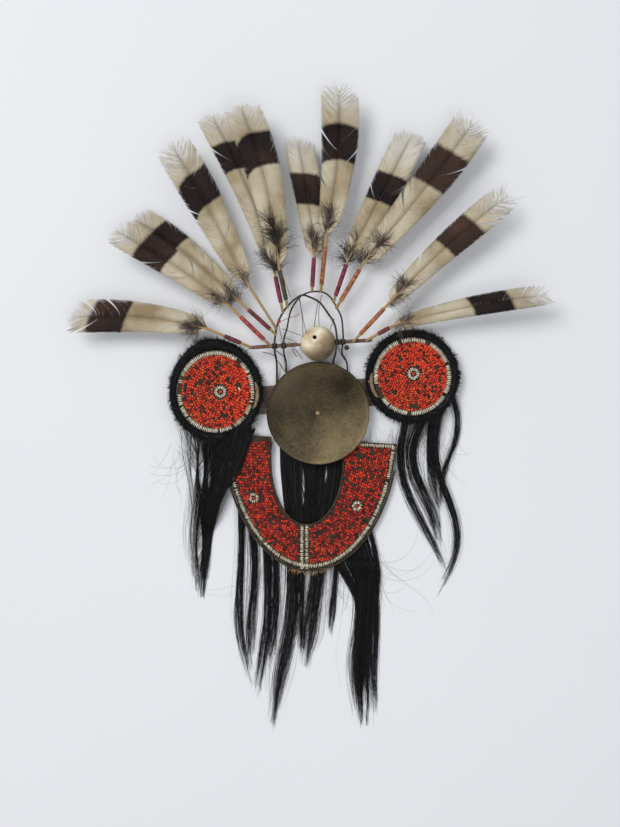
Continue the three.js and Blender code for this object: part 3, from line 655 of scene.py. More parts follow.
# %% Shell ball
BALL_RADIUS, BALL_WALL, BALL_HOLE, ROD_RISE, ROD_RADIUS = 31.5, 4.0, 3.6, 93.6, 3.5
ROD_TURN = math.radians(3.5)
HOLE_PLACE = (-0.2, 0.31)


def cutter(radius, depth, place, rotation):
    select_none()
    bpy.ops.mesh.primitive_cylinder_add(vertices=32, radius=radius * MM, depth=depth * MM,
                                        location=[v * MM for v in place], rotation=rotation)
    return bpy.context.object


def shell_ball():
    select_none()
    bpy.ops.mesh.primitive_uv_sphere_add(segments=64, ring_count=32, radius=BALL_RADIUS * MM,
                                         location=(0, ROD_RISE * MM, BALL_RADIUS * MM))
    ball = bpy.context.object
    ball.name = "ball"
    ball.modifiers.new("wall", "SOLIDIFY").thickness = BALL_WALL * MM
    hole_x, hole_y = (BALL_RADIUS * share for share in HOLE_PLACE)
    cuts = [cutter(BALL_HOLE, 2 * BALL_RADIUS, (hole_x, ROD_RISE + hole_y, 2 * BALL_RADIUS), (0, 0, 0)),
            cutter(ROD_RADIUS + 0.6, 3 * BALL_RADIUS, (0, ROD_RISE, BALL_RADIUS),
                   (0, math.pi / 2, ROD_TURN))]
    for cut in cuts:
        boolean = ball.modifiers.new("cut", "BOOLEAN")
        boolean.operation, boolean.object, boolean.solver = "DIFFERENCE", cut, "EXACT"
    bpy.context.view_layer.objects.active = ball
    for modifier in list(ball.modifiers):
        bpy.ops.object.modifier_apply(modifier=modifier.name)
    for cut in cuts:
        bpy.data.objects.remove(cut)
    select_none()
    ball.select_set(True)
    bpy.ops.object.transform_apply(location=True, rotation=True, scale=True)
    return smooth_off(ball)


OLD_SHELL = [(0.34, (0.3, 0.21, 0.11)), (0.5, (0.52, 0.42, 0.26)), (0.64, (0.7, 0.61, 0.44))]
SHELL = uneven_material("old_shell", OLD_SHELL, (0.3, 0.5), patch=38, grain=420, share=0.25, bump=0.08,
                        finish={"Coat Weight": 0.35, "Coat Roughness": 0.22})
# Painted light and shade on the ball: a highlight at the upper left, shade toward the lower right and
# underneath
shade_across(SHELL, (0, ROD_RISE, BALL_RADIUS), (0.7, -0.7, -0.3), (-0.02, 0.018),
             [(0.0, (1.35, 1.38, 1.48)), (0.35, (0.74, 0.7, 0.64)), (0.7, (0.45, 0.4, 0.33)),
              (1.0, (0.35, 0.3, 0.24))])
dress(shell_ball(), SHELL, ["shell_ball"])


# %% [markdown]
# Two cane hoops, the bound cross rod and a few thin strings make the frame. A rod is a round
# section swept along a smooth path. The rod's binding is one climbing thread, as on the quills.

# %% Cane frame
BAND_WALL, HOOP_FOOT, HOOP_STEPS = 2.5, 72.0, 110
ROD_LENGTH, ROD_OFFSET = 221.0, -13.5
ROD_LEVEL = BALL_RADIUS
FRONT_HOOP = {"cane": 1.8, "height": 85, "room": (45.5, 4.5), "side": 1, "feet": (3, 9)}
BACK_HOOP = {"cane": 1.5, "height": 93, "room": (29.5, 13.5), "side": -1, "feet": (4, -7)}
FRONT_ARCH = [(0, -0.18), (0, 0.08), (0.06, 0.47), (0.21, 0.79), (0.41, 1.0), (0.56, 0.96), (0.71, 0.85),
              (0.84, 0.62), (0.94, 0.4), (0.98, 0.08), (0.96, -0.18)]
BACK_ARCH = [(0, -0.18), (0, 0.08), (0.05, 0.29), (0.12, 0.64), (0.26, 0.88), (0.4, 0.975), (0.55, 1.0),
             (0.67, 0.98), (0.79, 0.88), (0.9, 0.67), (0.975, 0.465), (1.0, 0.08), (0.98, -0.18)]
DARK_CANE = uneven_material("dark_cane", [(0.35, (0.008, 0.007, 0.006)), (0.5, (0.022, 0.017, 0.014)),
                                          (0.66, (0.06, 0.042, 0.03))], (0.4, 0.65), patch=60, grain=900)
BOUND_CANE = uneven_material("bound_cane", [(0.35, (0.07, 0.03, 0.018)), (0.5, (0.17, 0.085, 0.05)),
                                            (0.66, (0.33, 0.20, 0.12))], (0.55, 0.85), patch=120, grain=1200)


def hoop_path(hoop, arch):
    level = ROD_LEVEL + hoop["side"] * (ROD_RADIUS + 2 * GAP + hoop["cane"])
    rest = BAND_WALL + GAP + hoop["cane"]
    left, right = -BALL_RADIUS - hoop["room"][0], BALL_RADIUS + hoop["room"][1]
    foot_y, knee_y = ROD_RISE - HOOP_FOOT, ROD_RISE - HOOP_FOOT * 0.5
    knee = rest + (level - rest) * 0.25
    left_foot, right_foot = left + hoop["feet"][0], right - hoop["feet"][1]
    points = [(left_foot, foot_y, rest), (left_foot, knee_y, knee)]
    points += [(left + (right - left) * across, ROD_RISE + hoop["height"] * rise, level)
               for across, rise in arch]
    points += [(right_foot, knee_y, knee), (right_foot, foot_y, rest)]
    return smooth_path(points, HOOP_STEPS)


def hoop_piece(side, path, cane):
    heap = Heap()
    knobs = 1 + 0.12 * (np.sin(np.arange(HOOP_STEPS) * 1.7) > 0.93)
    heap.add(*rod_along(path, cane * knobs, 10))
    return dress(heap.build(f"cane_{side}"), DARK_CANE, [f"hoop_{side}"])


FRONT_PATH = hoop_path(FRONT_HOOP, FRONT_ARCH)
BACK_PATH = hoop_path(BACK_HOOP, BACK_ARCH)
hoop_piece("front", FRONT_PATH, FRONT_HOOP["cane"])
hoop_piece("back", BACK_PATH, BACK_HOOP["cane"])


def on_rod(along):
    return np.array([along * math.cos(ROD_TURN), ROD_RISE + along * math.sin(ROD_TURN), ROD_LEVEL])


ROD_AXIS = on_rod(1) - on_rod(0)


def wound_ring(heap, middle, axis, radius, thread, turns):
    """A few close turns of thread round an axis."""
    axis = axis / np.linalg.norm(axis)
    one = np.cross(axis, [0.3, 0.2, 1.0])
    one /= np.linalg.norm(one)
    two = np.cross(axis, one)
    angle = np.linspace(0, 2 * math.pi * turns, int(14 * turns))[:, None]
    rise = (angle / (2 * math.pi) - turns / 2) * thread * 1.9
    path = middle + radius * (np.cos(angle) * one + np.sin(angle) * two) + rise * axis
    heap.add(*rod_along(path, thread, 5))


def cross_rod():
    heap = Heap()
    low, high = ROD_OFFSET - ROD_LENGTH / 2, ROD_OFFSET + ROD_LENGTH / 2
    core = np.array([on_rod(x) for x in np.linspace(low, high, 30)])
    heap.add(*rod_along(core, ROD_RADIUS - 0.9, 10))
    for from_x, to_x in ((low + 1, -BALL_RADIUS - 2), (BALL_RADIUS + 2, high - 1)):
        turns = (to_x - from_x) / 1.5
        wound_ring(heap, on_rod((from_x + to_x) / 2), ROD_AXIS, ROD_RADIUS - 0.5, 0.72, turns)
    return dress(heap.build("bound_rod"), BOUND_CANE, ["cross_rod"])


cross_rod()

# %% [markdown]
# Thin strings stay the hoops, cord is bound where they cross the rod, and red thread is
# knotted at one side. Each string runs between two fixed ends, with a small bend.

# %% Strings, ties and twigs on the frame
STAYS = [  # two ends of each thin string in millimetres, its radius, and its sag
    ((-34, 174, 38), (-27, 104, 52), 0.55, 3), ((-33, 174, 38), (-21, 110, 56), 0.5, 2),
    ((0, 171, 36), (-7, 123, 42), 0.6, 2), ((7, 181, 28), (2, 125, 40), 0.55, 3),
    ((29, 137, 37), (21, 117, 50), 0.6, 2), ((-77, 83, 33), (-60, 70, 24), 0.7, 1),
    ((-77, 68, 22), (-60, 44, 8), 0.7, 1), ((-99, 78, 26), (-78, 72, 30), 0.7, 1),
    ((-46, 84, 32), (-38, 70, 22), 0.6, 1), ((-66, 120, 38), (-31, 108, 34), 0.5, 4),
    ((-52, 96, 28), (-28, 66, 12), 0.5, 3), ((-60, 104, 27), (-30, 84, 16), 0.45, 4),
    ((36, 88, 38), (50, 62, 16), 0.6, 2), ((-70, 128, 39), (-58, 40, 6), 0.5, 3),
]


def stays():
    heap = Heap()
    for one, two, radius, sag in STAYS:
        q = np.linspace(0, 1, 12)[:, None]
        path = np.array(one) * (1 - q) + np.array(two) * q
        bend = rng.normal(0, 1, 3) * [1, 1, 0.4]
        path = path + bend / np.linalg.norm(bend) * sag * np.sin(math.pi * q)
        heap.add(*rod_along(path, radius, 6))
    return dress(heap.build("stays"), DARK_CANE)


def ties():
    """Dark cord bound where the hoops cross the rod, and the knot beside the ball."""
    heap = Heap()
    for path in (FRONT_PATH, BACK_PATH):
        for before, here in zip(path[:-1], path[1:]):
            if (here[1] - ROD_RISE) * (before[1] - ROD_RISE) > 0:
                continue
            middle = np.array([here[0], ROD_RISE + here[0] * math.tan(ROD_TURN), ROD_LEVEL])
            for shift in (-2.6, 2.6):
                wound_ring(heap, middle + ROD_AXIS * shift, ROD_AXIS, ROD_RADIUS + 1.4, 0.6, 3)
    knot = np.array([51.0, 86.0, ROD_LEVEL + 4.5])
    for angle in np.arange(5) * 1.2:
        wound_ring(heap, knot, np.array([math.cos(angle), math.sin(angle), 0.4]), 3.6, 0.9, 1.6)
    return dress(heap.build("ties"), DARK_CANE)


def red_knot():
    heap = Heap()
    knot = np.array([-69.5, 132.5, 41.5])
    for angle in range(4):
        wound_ring(heap, knot, np.array([math.cos(angle), math.sin(angle), 0.5]), 2.6, 0.7, 1.5)
    trail = [(-68, 131, 43), (-60, 135, 41), (-50, 139, 38), (-40, 142, 37), (-33, 146, 36)]
    loop = [(-60, 232, 49), (-66, 223, 48), (-62, 210, 47), (-54, 190, 45), (-50, 176, 42)]
    for points, radius in ((trail, 0.5), (loop, 0.55)):
        heap.add(*rod_along(smooth_path(points, 18), radius, 6))
    return dress(heap.build("red_knot"), THREADS["red"])


stays()
ties()
red_knot()

# %% [markdown]
# The band is a flat strip of old hide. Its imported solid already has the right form, so it
# only gets a surface.

# %% Hide band
def hide_material(name, stops, patch):
    return uneven_material(name, stops, (0.7, 0.92), patch=patch, grain=500, share=0.35, bump=0.35,
                           depth=0.0006)


HIDE = hide_material("band_hide", [(0.34, (0.05, 0.035, 0.026)), (0.5, (0.13, 0.097, 0.073)),
                                   (0.66, (0.25, 0.2, 0.155))], 45)
paint(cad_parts["head_band"], HIDE)
print("hide band dressed")

# %% [markdown]
# The ear discs and the bib are fields of seeds set in dark resin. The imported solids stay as
# the resin. Every seed is a small low-poly oval with its own tone in the uv map. Seeds are
# dropped in patches, where the resin shows.

# %% Seed materials
def tone_material(name, stops, rough, finish):
    """Colour by the tone in the uv map's u, with a little unevenness over it."""
    material = uneven_material(name, stops, rough, patch=300, grain=1500, bump=0.05, finish=finish)
    tree = material.node_tree
    change = remap(tree, tree.nodes["surface"].outputs["Mask"], 0.3, 0.7, -0.1, 0.1)
    tone = calculate(tree, "ADD", uv_pair(tree)[0], change)
    tree.links.new(tone, tree.nodes["colour"].inputs["Fac"])
    return material


RED_SEED = tone_material("red_seed", [(0.0, (0.035, 0.008, 0.006)), (0.12, (0.13, 0.012, 0.012)),
                                      (0.5, (0.68, 0.034, 0.016)), (0.85, (0.85, 0.085, 0.022)),
                                      (1.0, (0.75, 0.15, 0.04))], (0.35, 0.55),
                         {"Coat Weight": 0.12, "Coat Roughness": 0.25, "Specular IOR Level": 0.3})
WHITE_SEED = tone_material("white_seed", [(0.0, (0.22, 0.17, 0.09)), (0.3, (0.5, 0.44, 0.3)),
                                          (1.0, (0.78, 0.73, 0.6))], (0.3, 0.5),
                           {"Coat Weight": 0.3, "Coat Roughness": 0.25})
RESIN = uneven_material("dark_resin", [(0.36, (0.012, 0.009, 0.005)), (0.52, (0.04, 0.03, 0.015)),
                                       (0.66, (0.085, 0.06, 0.03))], (0.5, 0.8), patch=110, grain=700,
                        bump=0.6, depth=0.0009, finish={"Specular IOR Level": 0.2})
for name in ("ear_disc_left", "ear_disc_right", "bib"):
    paint(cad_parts[name], RESIN)
print("resin on the ear discs and the bib")


# %% Many seeds at once
SEED_SIDES = 7


def oval_mould():
    """Points and triangles of one rounded oval of half size 1."""
    sides = SEED_SIDES
    turn = np.arange(sides) * 2 * math.pi / sides
    rings = [np.stack([math.cos(b) * np.cos(turn), math.cos(b) * np.sin(turn),
                       np.full(sides, math.sin(b))], axis=1) for b in (-0.6, 0.1, 0.75)]
    points = np.vstack(rings + [np.array([[0, 0, -1.0], [0, 0, 1.0]])])
    faces = []
    for i in range(sides):
        j = (i + 1) % sides
        faces += [[3 * sides, j, i], [3 * sides + 1, 2 * sides + i, 2 * sides + j]]
        for low in (0, sides):
            faces += [[low + i, low + j, low + sides + j], [low + i, low + sides + j, low + sides + i]]
    return points, np.array(faces)


def add_seeds(heap, places, headings, half, tones):
    """places (n, 3), headings in radians, half sizes (n, 3) and tones (n)."""
    mould, faces = oval_mould()
    x, y, z = np.moveaxis(mould[None] * half[:, None, :], 2, 0)
    cos, sin = np.cos(headings)[:, None], np.sin(headings)[:, None]
    points = np.stack([x * cos - y * sin, x * sin + y * cos, z], axis=2) + places[:, None]
    starts = (np.arange(len(places)) * len(mould))[:, None, None]
    uv = np.stack([np.repeat(tones, len(mould)), np.zeros(len(places) * len(mould))], axis=1)
    heap.add(points.reshape(-1, 3), (faces[None] + starts).reshape(-1, 3), uv)


def seed_tones(count, tone):
    tones = rng.normal(tone, 0.2, count)
    dull = rng.random(count) < 0.1
    return np.clip(np.where(dull, rng.uniform(0.0, 0.25, count), tones), 0, 1)


def keep_off(places, patches):
    """True where a seed stays: outside the bare patches, less a few lost ones."""
    keep = rng.random(len(places)) > 0.03
    for x, y, reach in patches:
        gap = np.hypot(places[:, 0] - x, places[:, 1] - y) * rng.uniform(0.85, 1.25, len(places))
        keep &= gap > reach
    return keep


def set_seeds(heap, places, headings, long, wide, jitter=0.3, tones=None, tone=0.62, turn_by=0.16):
    """Sets seeds of about one half length and half width, each a little off its place."""
    n = len(places)
    places = places + rng.normal(0, jitter, (n, 3)) * [1, 1, 0.35]
    half = np.stack([rng.normal(size, size * vary, n)
                     for size, vary in ((long, 0.07), (wide, 0.08), (wide, 0.08))], axis=1)
    headings = headings + rng.normal(0, turn_by, n)
    add_seeds(heap, places, headings, half, seed_tones(n, tone) if tones is None else tones)


# %% [markdown]
# Red seeds lie end to end in rings, a row of long white seeds points outwards at the rim,
# and a rosette of white seeds sits a little off the middle, so the inner rings are shifted
# toward it. Bare patches and gaps are listed.

# %% Seeds on the ear discs
EAR_RADIUS, EAR_DEPTH, EAR_CROWN = 70.0, 15.0, 3.0
EAR_BASE = BAND_WALL + GAP
RED_LONG, RED_WIDE, WHITE_LONG, WHITE_WIDE = 2.75, 1.95, 4.4, 1.2
RING_START, RING_STEP, RED_PITCH = 15.2, 3.75, 5.05
PETALS, PETAL_RING = 15, 8.3
EARS = {  # centre, height share, where the rosette sits, gaps in the white ring, bare patches
    "left": {"middle": (-183.0, 7.2), "tall": 1.06, "rosette": (8.3, 0.0), "thick": 8.0,
             "gaps": [(171, 5), (180, 4), (160, 3), (52, 4), (28, 2), (-12, 3),
                      (-38, 4), (-62, 4), (-85, 2), (-140, 2)],
             "patches": [(3, 44, 5), (20, 52, 3), (-3, 30, 3.5), (38, 12, 5),
                         (22, 24, 4), (-28, 18, 4), (-20, 33, 3), (16, -43, 6), (15, -30, 3.5),
                         (-6, -47, 3), (32, -38, 3), (-40, -5, 3), (-22, -27, 3)],
             "strays": [(42, 5.5, 110)]},
    "right": {"middle": (169.0, 34.7), "tall": 1.0, "rosette": (1.8, 4.8), "thick": 0.5,
              "gaps": [(-160, 9), (-148, 4), (65, 5), (20, 3), (-30, 3), (110, 3), (-95, 3)],
              "patches": [(45, 16, 5), (36, -26, 4), (5, -54, 4), (-20, 30, 4), (-45, -8, 4), (20, 40, 3.5),
                          (-30, -30, 4), (12, -28, 3), (-8, 46, 3), (48, -5, 3)],
              "strays": [(-65, 1, 20), (-77, -8, 70)]},
}


def disc_height(r):
    top = EAR_BASE + EAR_DEPTH
    return np.interp(r, [0, EAR_RADIUS * 0.6, EAR_RADIUS * 0.95, EAR_RADIUS],
                     [top + EAR_CROWN, top + EAR_CROWN * 0.7, top, top - EAR_DEPTH * 0.07])


def round_ear(side, turn, r, z):
    """Points at turns and distances round the middle of an ear disc."""
    (x, y), tall = EARS[side]["middle"], EARS[side]["tall"]
    return np.stack([x + np.cos(turn) * r, y + np.sin(turn) * r * tall, z + 0 * turn], axis=-1)


def ear_seeds(side):
    ear = EARS[side]
    red, white = Heap(), Heap()
    places, headings = [], []
    for r in np.arange(RING_START, EAR_RADIUS * 0.875, RING_STEP):
        count = int(2 * math.pi * r / RED_PITCH)
        turn = np.arange(count) * 2 * math.pi / count + rng.uniform(0, 6)
        shift = min((1 - r / EAR_RADIUS) ** 1.2 * 1.3, 1)
        x = np.cos(turn) * r + ear["rosette"][0] * shift
        y = np.sin(turn) * r * ear["tall"] + ear["rosette"][1] * shift
        places.append(np.stack([x, y, disc_height(r) + 0.5 + 0 * x], axis=1))
        headings.append(turn + math.pi / 2 + (rng.random(count) < 0.12) * rng.uniform(0.4, 1.6, count))
    places, headings = np.vstack(places), np.concatenate(headings)
    keep = keep_off(places, ear["patches"])
    middle = np.array([*ear["middle"], 0])
    set_seeds(red, places[keep] + middle, headings[keep], RED_LONG, RED_WIDE)
    heart = np.array([[0, 0], [1.9, 0.7], [-1.2, 1.8], [-0.8, -1.9]]) + ear["rosette"]
    heart = np.column_stack([heart, np.full(4, disc_height(9) + 0.6)])
    set_seeds(red, heart + middle, np.arange(4) * 1.4, 2.0, 1.6)
    turn = np.arange(0, 360, 2.72)
    keep = rng.random(len(turn)) > 0.03
    for at, reach in ear["gaps"]:
        keep &= np.abs((turn - at + 180) % 360 - 180) > reach * 0.85
    turn = np.radians(turn[keep])
    r = EAR_RADIUS - WHITE_LONG
    set_seeds(white, round_ear(side, turn, r, disc_height(r) + 0.6), turn, WHITE_LONG, WHITE_WIDE, 0.2,
              rng.normal(0.66, 0.2, len(turn)), turn_by=0.06)
    turn = np.arange(PETALS) * 2 * math.pi / PETALS
    petals = np.stack([np.cos(turn), np.sin(turn), 0 * turn], axis=1) * PETAL_RING
    petals += middle + [*ear["rosette"], disc_height(9) + 0.7]
    set_seeds(white, petals, turn, 3.3, 1.3, 0.15, rng.normal(0.75, 0.12, PETALS))
    for x, y, heading in ear["strays"]:
        spot = np.array([[x, y, disc_height(math.hypot(x, y)) + 0.9]])
        set_seeds(white, spot + middle, np.radians([heading]), 4.2, 1.9, 0.1, np.array([0.8]))
    dress(red.build(f"red_seeds_{side}"), RED_SEED)
    dress(white.build(f"white_seeds_{side}"), WHITE_SEED)


ear_seeds("left")
ear_seeds("right")

# %% [markdown]
# The bib's rows of red seeds follow its outer edge. White seeds edge the rim and stand at
# both sides of the seam's foot, and there are two small rosettes. Red seeds that would fall
# in the mouth, on the seam or on a rosette are left out.

# %% Seeds on the bib
BIB_CENTRE, BIB_WALL, FRINGE_HEAD = -13.5, 6.0, 6.7
BIB_OUTER = {"x": 156.6, "y": 262.0, "drop": 48.6, "shift": 0.0}
BIB_MOUTH = {"x": 63.5, "y": 113.0, "drop": 117.0, "shift": -6.5}
BIB_TOP, BIB_SLOPE = 77.0, 0.06
BIB_FACE = FRINGE_HEAD + 2 * GAP + BIB_WALL
BIB_ROSETTES = [(-115.0, -183.0), (70.0, -197.5)]
SEAM_X, SEAM_HALF = -24.5, 4.4
BIB_ROWS, FIRST_ROW, ROW_STEP, BIB_PITCH = 24, 12.5, 4.0, 5.2
RIM_IN, RIM_PITCH = 6, 3.15
BIB_PATCHES = [(-138, -195, 6), (-127, -214, 4), (-86, -225, 7), (-100, -150, 4), (-134, -150, 4),
               (75, -108, 7), (98, -102, 5), (60, -120, 4), (98, -146, 4), (52, -152, 4), (62, -160, 4),
               (105, -195, 4), (0, -245, 6), (24, -252, 5), (-42, -262, 3), (60, -235, 4), (-75, -262, 4),
               (-108, -240, 3), (30, -215, 4), (-60, -290, 3), (20, -285, 3), (88, -222, 4), (44, -266, 3)]


def bib_point(edge, turn, grow):
    return np.stack([BIB_CENTRE + edge["shift"] + (edge["x"] + grow) * np.cos(turn),
                     -edge["drop"] + (edge["y"] + grow) * np.sin(turn)], axis=-1)


def run_along(points):
    """How far along a line each of its points lies."""
    return np.concatenate([[0], np.cumsum(np.linalg.norm(np.diff(points, axis=0), axis=1))])


def even_turns(edge, grow, low, high, pitch):
    """Turns that put points an even pitch apart along an edge."""
    turn = np.linspace(low, high, 900)
    run = run_along(bib_point(edge, turn, grow))
    return np.interp(np.arange(pitch / 2, run[-1], pitch), run, turn)


def across_edge(edge, turn):
    """Heading of the line square to the edge."""
    return np.arctan2(np.sin(turn) / edge["y"], np.cos(turn) / edge["x"])


def in_mouth(places, grow):
    x = (places[:, 0] - BIB_CENTRE - BIB_MOUTH["shift"]) / (BIB_MOUTH["x"] + grow)
    y = (places[:, 1] + BIB_MOUTH["drop"]) / (BIB_MOUTH["y"] + grow)
    return x * x + y * y < 1


def top_line(x):
    return -BIB_TOP - BIB_SLOPE * (x - BIB_CENTRE)


def on_bib(x, y, lift):
    """Points on the bib's face, from places across and up, and a small lift."""
    x, y = np.broadcast_arrays(x, y)
    return np.column_stack([x, y, np.full(len(x), BIB_FACE + lift)])


def bib_seeds():
    red, white = Heap(), Heap()
    places, headings = [], []
    for row in range(BIB_ROWS):
        grow = -FIRST_ROW - ROW_STEP * row
        turn = even_turns(BIB_OUTER, grow, -math.pi, 0, BIB_PITCH) + rng.uniform(0, 0.01)
        places.append(bib_point(BIB_OUTER, turn, grow))
        headings.append(across_edge(BIB_OUTER, turn) + math.pi / 2 + (rng.random(len(turn)) < 0.1) * 0.8)
    places, headings = np.vstack(places), np.concatenate(headings)
    patches = BIB_PATCHES + [(x, y, 10.5) for x, y in BIB_ROSETTES]
    keep = keep_off(places, patches) & ~in_mouth(places, 5.5)
    keep &= places[:, 1] < top_line(places[:, 0]) - 9
    keep &= np.abs(places[:, 0] - SEAM_X) > 9.8
    set_seeds(red, on_bib(*places[keep].T, 0.5), headings[keep], RED_LONG, RED_WIDE, 0.35, tone=0.35)
    edge = even_turns(BIB_OUTER, -RIM_IN, -math.pi, 0, RIM_PITCH)
    rim = bib_point(BIB_OUTER, edge, -RIM_IN)
    keep = (rng.random(len(rim)) > 0.04) & (rim[:, 1] < top_line(rim[:, 0]) - 3)
    set_seeds(white, on_bib(*rim[keep].T, 0.6), across_edge(BIB_OUTER, edge[keep]), 3.7, WHITE_WIDE,
              0.25, rng.normal(0.55, 0.22, keep.sum()))
    top = np.arange(60, 134, 3.2)
    set_seeds(white, on_bib(top, top_line(top) - 5, 0.6), np.full(len(top), math.pi / 2), 3.4,
              WHITE_WIDE, 0.25, rng.normal(0.5, 0.2, len(top)))
    down = np.arange(-309, -231, 3.3)
    for column in (SEAM_X - SEAM_HALF, SEAM_X + SEAM_HALF):
        set_seeds(white, on_bib(column, down, 0.7), np.zeros(len(down)), 3.4, 1.3, 0.3,
                  rng.normal(0.42, 0.22, len(down)))
    for x, y in BIB_ROSETTES:
        turn = np.arange(12) * 2 * math.pi / 12 + 0.2
        petals = on_bib(x + np.cos(turn) * 6.6, y + np.sin(turn) * 6.6, 0.8)
        set_seeds(white, petals, turn, 3.1, 1.25, 0.4, rng.normal(0.68, 0.15, 12))
        heart = np.array([[x, y, BIB_FACE + 0.6], [x + 1.8, y - 1.5, BIB_FACE + 0.5]])
        set_seeds(red, heart, np.array([0.3, 1.8]), 1.8, 1.5, 0.2)
    dress(red.build("red_seeds_bib"), RED_SEED)
    dress(white.build("white_seeds_bib"), WHITE_SEED)


bib_seeds()

# %% [markdown]
# Hair is thousands of thin strips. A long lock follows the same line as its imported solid, and
# its strands spread over the solid's width and height. The pile round each ear disc is short
# curly hair. A few single hairs stray from every lock, as in the photograph.

# %% Hair
HAIR = tone_material("black_hair_strands", [(0.0, (0.004, 0.004, 0.0045)), (0.6, (0.012, 0.012, 0.013)),
                                            (0.9, (0.026, 0.026, 0.028)), (1.0, (0.07, 0.067, 0.067))],
                     (0.4, 0.6), {"Specular IOR Level": 0.25})
PILE_WIDTH, PILE_DEPTH = 17.0, 8.0
PILE_BASE = BIB_FACE + GAP
LOCK_LENGTH, LOCK_WIDTH, LOCK_HEIGHT = 300.0, 20.0, 7.0
LOCK_HAIR, FINE_HAIR, PILE_HAIR, BACK_STRAND = 0.3, 0.14, 0.5, 0.46
PILE_WAVES = [(7, 1.0), (13, 2.3), (29, 0.4), (47, 3.0)]
LOCK_POINTS, FAN_POINTS, STRAY_POINTS, PILE_POINTS, BACK_POINTS = 15, 16, 10, 4, 11
# Locks: angle round the edge, length, width, lean, bulge, wave, hold (as in the part)
LEFT_LOCKS = [(-50, 1.03, 0.8, 0.1, 0.012, 0.037, 0.0), (-28, 0.9, 0.85, 0.05, 0, 0.012, 0.0),
              (-8, 0.66, 1.0, -0.1, 0, 0, 0.0), (18, 0.7, 1.0, -0.25, 0.03, 0, 0.6),
              (46, 0.42, 0.8, -0.36, 0.08, 0, 1.0)]
RIGHT_LOCKS = [(-8, 0.94, 0.45, 0.27, -0.11, -0.026, 0), (14, 0.78, 0.85, 0.14, -0.1, -0.05, 0),
               (27, 0.6, 0.5, 0.08, -0.05, 0, 0), (40, 1.08, 0.5, 0, 0.045, -0.061, 0),
               (66, 0.72, 0.3, -0.07, 0.03, 0.05, 0)]
FRINGE = [(-58, 1.1, 0.45, 0.06, -0.035, 0.015, 0), (-47, 0.9, 0.5, 0, 0.02, 0.015, 0),
          (-32, 0.9, 0.55, -0.067, 0.04, 0, 0), (-25, 0.68, 0.45, -0.05, 0.02, 0, 0),
          (-12, 1.0, 0.95, -0.123, 0.02, 0.01, 0), (-5, 0.53, 0.3, -0.03, 0, 0, 0),
          (6, 0.63, 1.0, -0.14, 0, 0, 0), (19, 0.46, 0.3, -0.09, 0, 0, 0),
          (30, 1.03, 1.2, 0.04, 0.045, 0.026, 0), (37, 1.05, 1.0, 0.05, 0.025, 0.03, 0),
          (44, 0.5, 0.3, 0.08, 0.07, 0, 0)]


def hair_tones(count):
    tones = np.abs(rng.normal(0, 0.36, count))
    return np.clip(np.where(rng.random(count) < 0.04, 0.95, tones), 0, 1)


def add_hairs(heap, x, y, z, width):
    """Thin strips that narrow to their tips, along points x, y and z (n, k)."""
    n, k = x.shape
    paths = np.stack([x, y, np.maximum(z, 0.15)], axis=2)
    slim = np.linspace(1, 0.35, k)[None] * rng.uniform(0.7, 1.2, (n, 1)) * width
    tones = np.repeat(hair_tones(n)[:, None], k, axis=1)
    heap.add(*strips(paths, slim, slim * 0.8, tones, np.zeros((n, k))))


def waving(n, k, size, waves):
    """Waves (n, k) of random height and start along each strand."""
    share = np.linspace(0, 1, k)[None]
    return rng.normal(0, size, (n, 1)) * np.sin(2 * math.pi * (waves * share + rng.random((n, 1))))


def wander(n, k, size):
    """Smooth random side steps (n, k) that grow along each strand."""
    total = sum(waving(n, k, size / waves, waves) for waves in (0.7, 1.6, 3.1))
    return total * np.linspace(0, 1, k)[None] ** 1.5


def clumped(count, clumps, spread):
    """Places from 0 to 1 that gather in clumps, with a few between, and each one's clump."""
    which = rng.integers(0, clumps, count)
    middle = (np.arange(clumps) + 0.5) / clumps + rng.normal(0, 0.18 / clumps, clumps)
    place = middle[which] + rng.normal(0, spread / clumps, count)
    return np.where(rng.random(count) < 0.25, rng.random(count), place), which


def kinks(n, k, size):
    """Small waves along each strand."""
    waves = rng.uniform(4, 7, (n, 1))
    return waving(n, k, size, waves) * np.linspace(0, 1, k)[None] ** 0.5


def part_hair(x, y, partings):
    """Push strands away from upright lines: x, middle and half length, and width of each."""
    for line, at, reach, width in partings:
        near = np.clip(1 - np.abs(y - at) / reach, 0, 1) ** 0.5
        gap = x - line
        x = x + np.sign(gap) * np.clip(width * near - np.abs(gap) * 0.8, 0, None)
    return x


def add_lock(heap, root, lock, level, count, thick=LOCK_HAIR, partings=()):
    """Strands along one lock's line, from its root down, with frizz at its sides."""
    _, length, width, lean, bulge, wave, hold = lock
    k, reach, clumps = LOCK_POINTS, LOCK_LENGTH * length, 3 + int(5 * width)
    u, which = clumped(count, clumps, 0.3)
    end = (rng.uniform(0.85, 1.03, clumps)[which] * rng.uniform(0.8, 1.03, count))[:, None]
    t = np.linspace(0, 1, k)[None] * np.clip(end, 0, 1.03)
    side = lean * t + bulge * np.sin(math.pi * t) + wave * np.sin(2 * math.pi * t)
    taper = np.where(t < 0.6, 1, 1 - 0.65 * ease((t - 0.6) / 0.4))
    half = LOCK_WIDTH * width * taper / 2 * 1.15
    tall = np.minimum(LOCK_HEIGHT, 2.4 * half) * (0.6 + 0.4 * taper)
    base = level * (1 - ease((t - hold) / 0.25))
    frizz = 1 + np.abs(rng.normal(0, 0.9, (count, 1))) * (0.2 + 0.8 * t)
    across = (2 * u - 1)[:, None] * np.where(rng.random((count, 1)) < 0.42, frizz, 0.94)
    up = np.sqrt(np.clip(1 - across ** 2, 0, 1)) * rng.uniform(0.05, 1, (count, 1))
    x = root[0] + reach * side + across * half + wander(clumps, k, 2.2)[which]
    x = x + wander(count, k, 1.0) + kinks(count, k, 0.55)
    y = root[1] - reach * t + rng.normal(0, 2, (count, 1))
    add_hairs(heap, part_hair(x, y, partings), y, base + 0.3 + up * tall, thick)


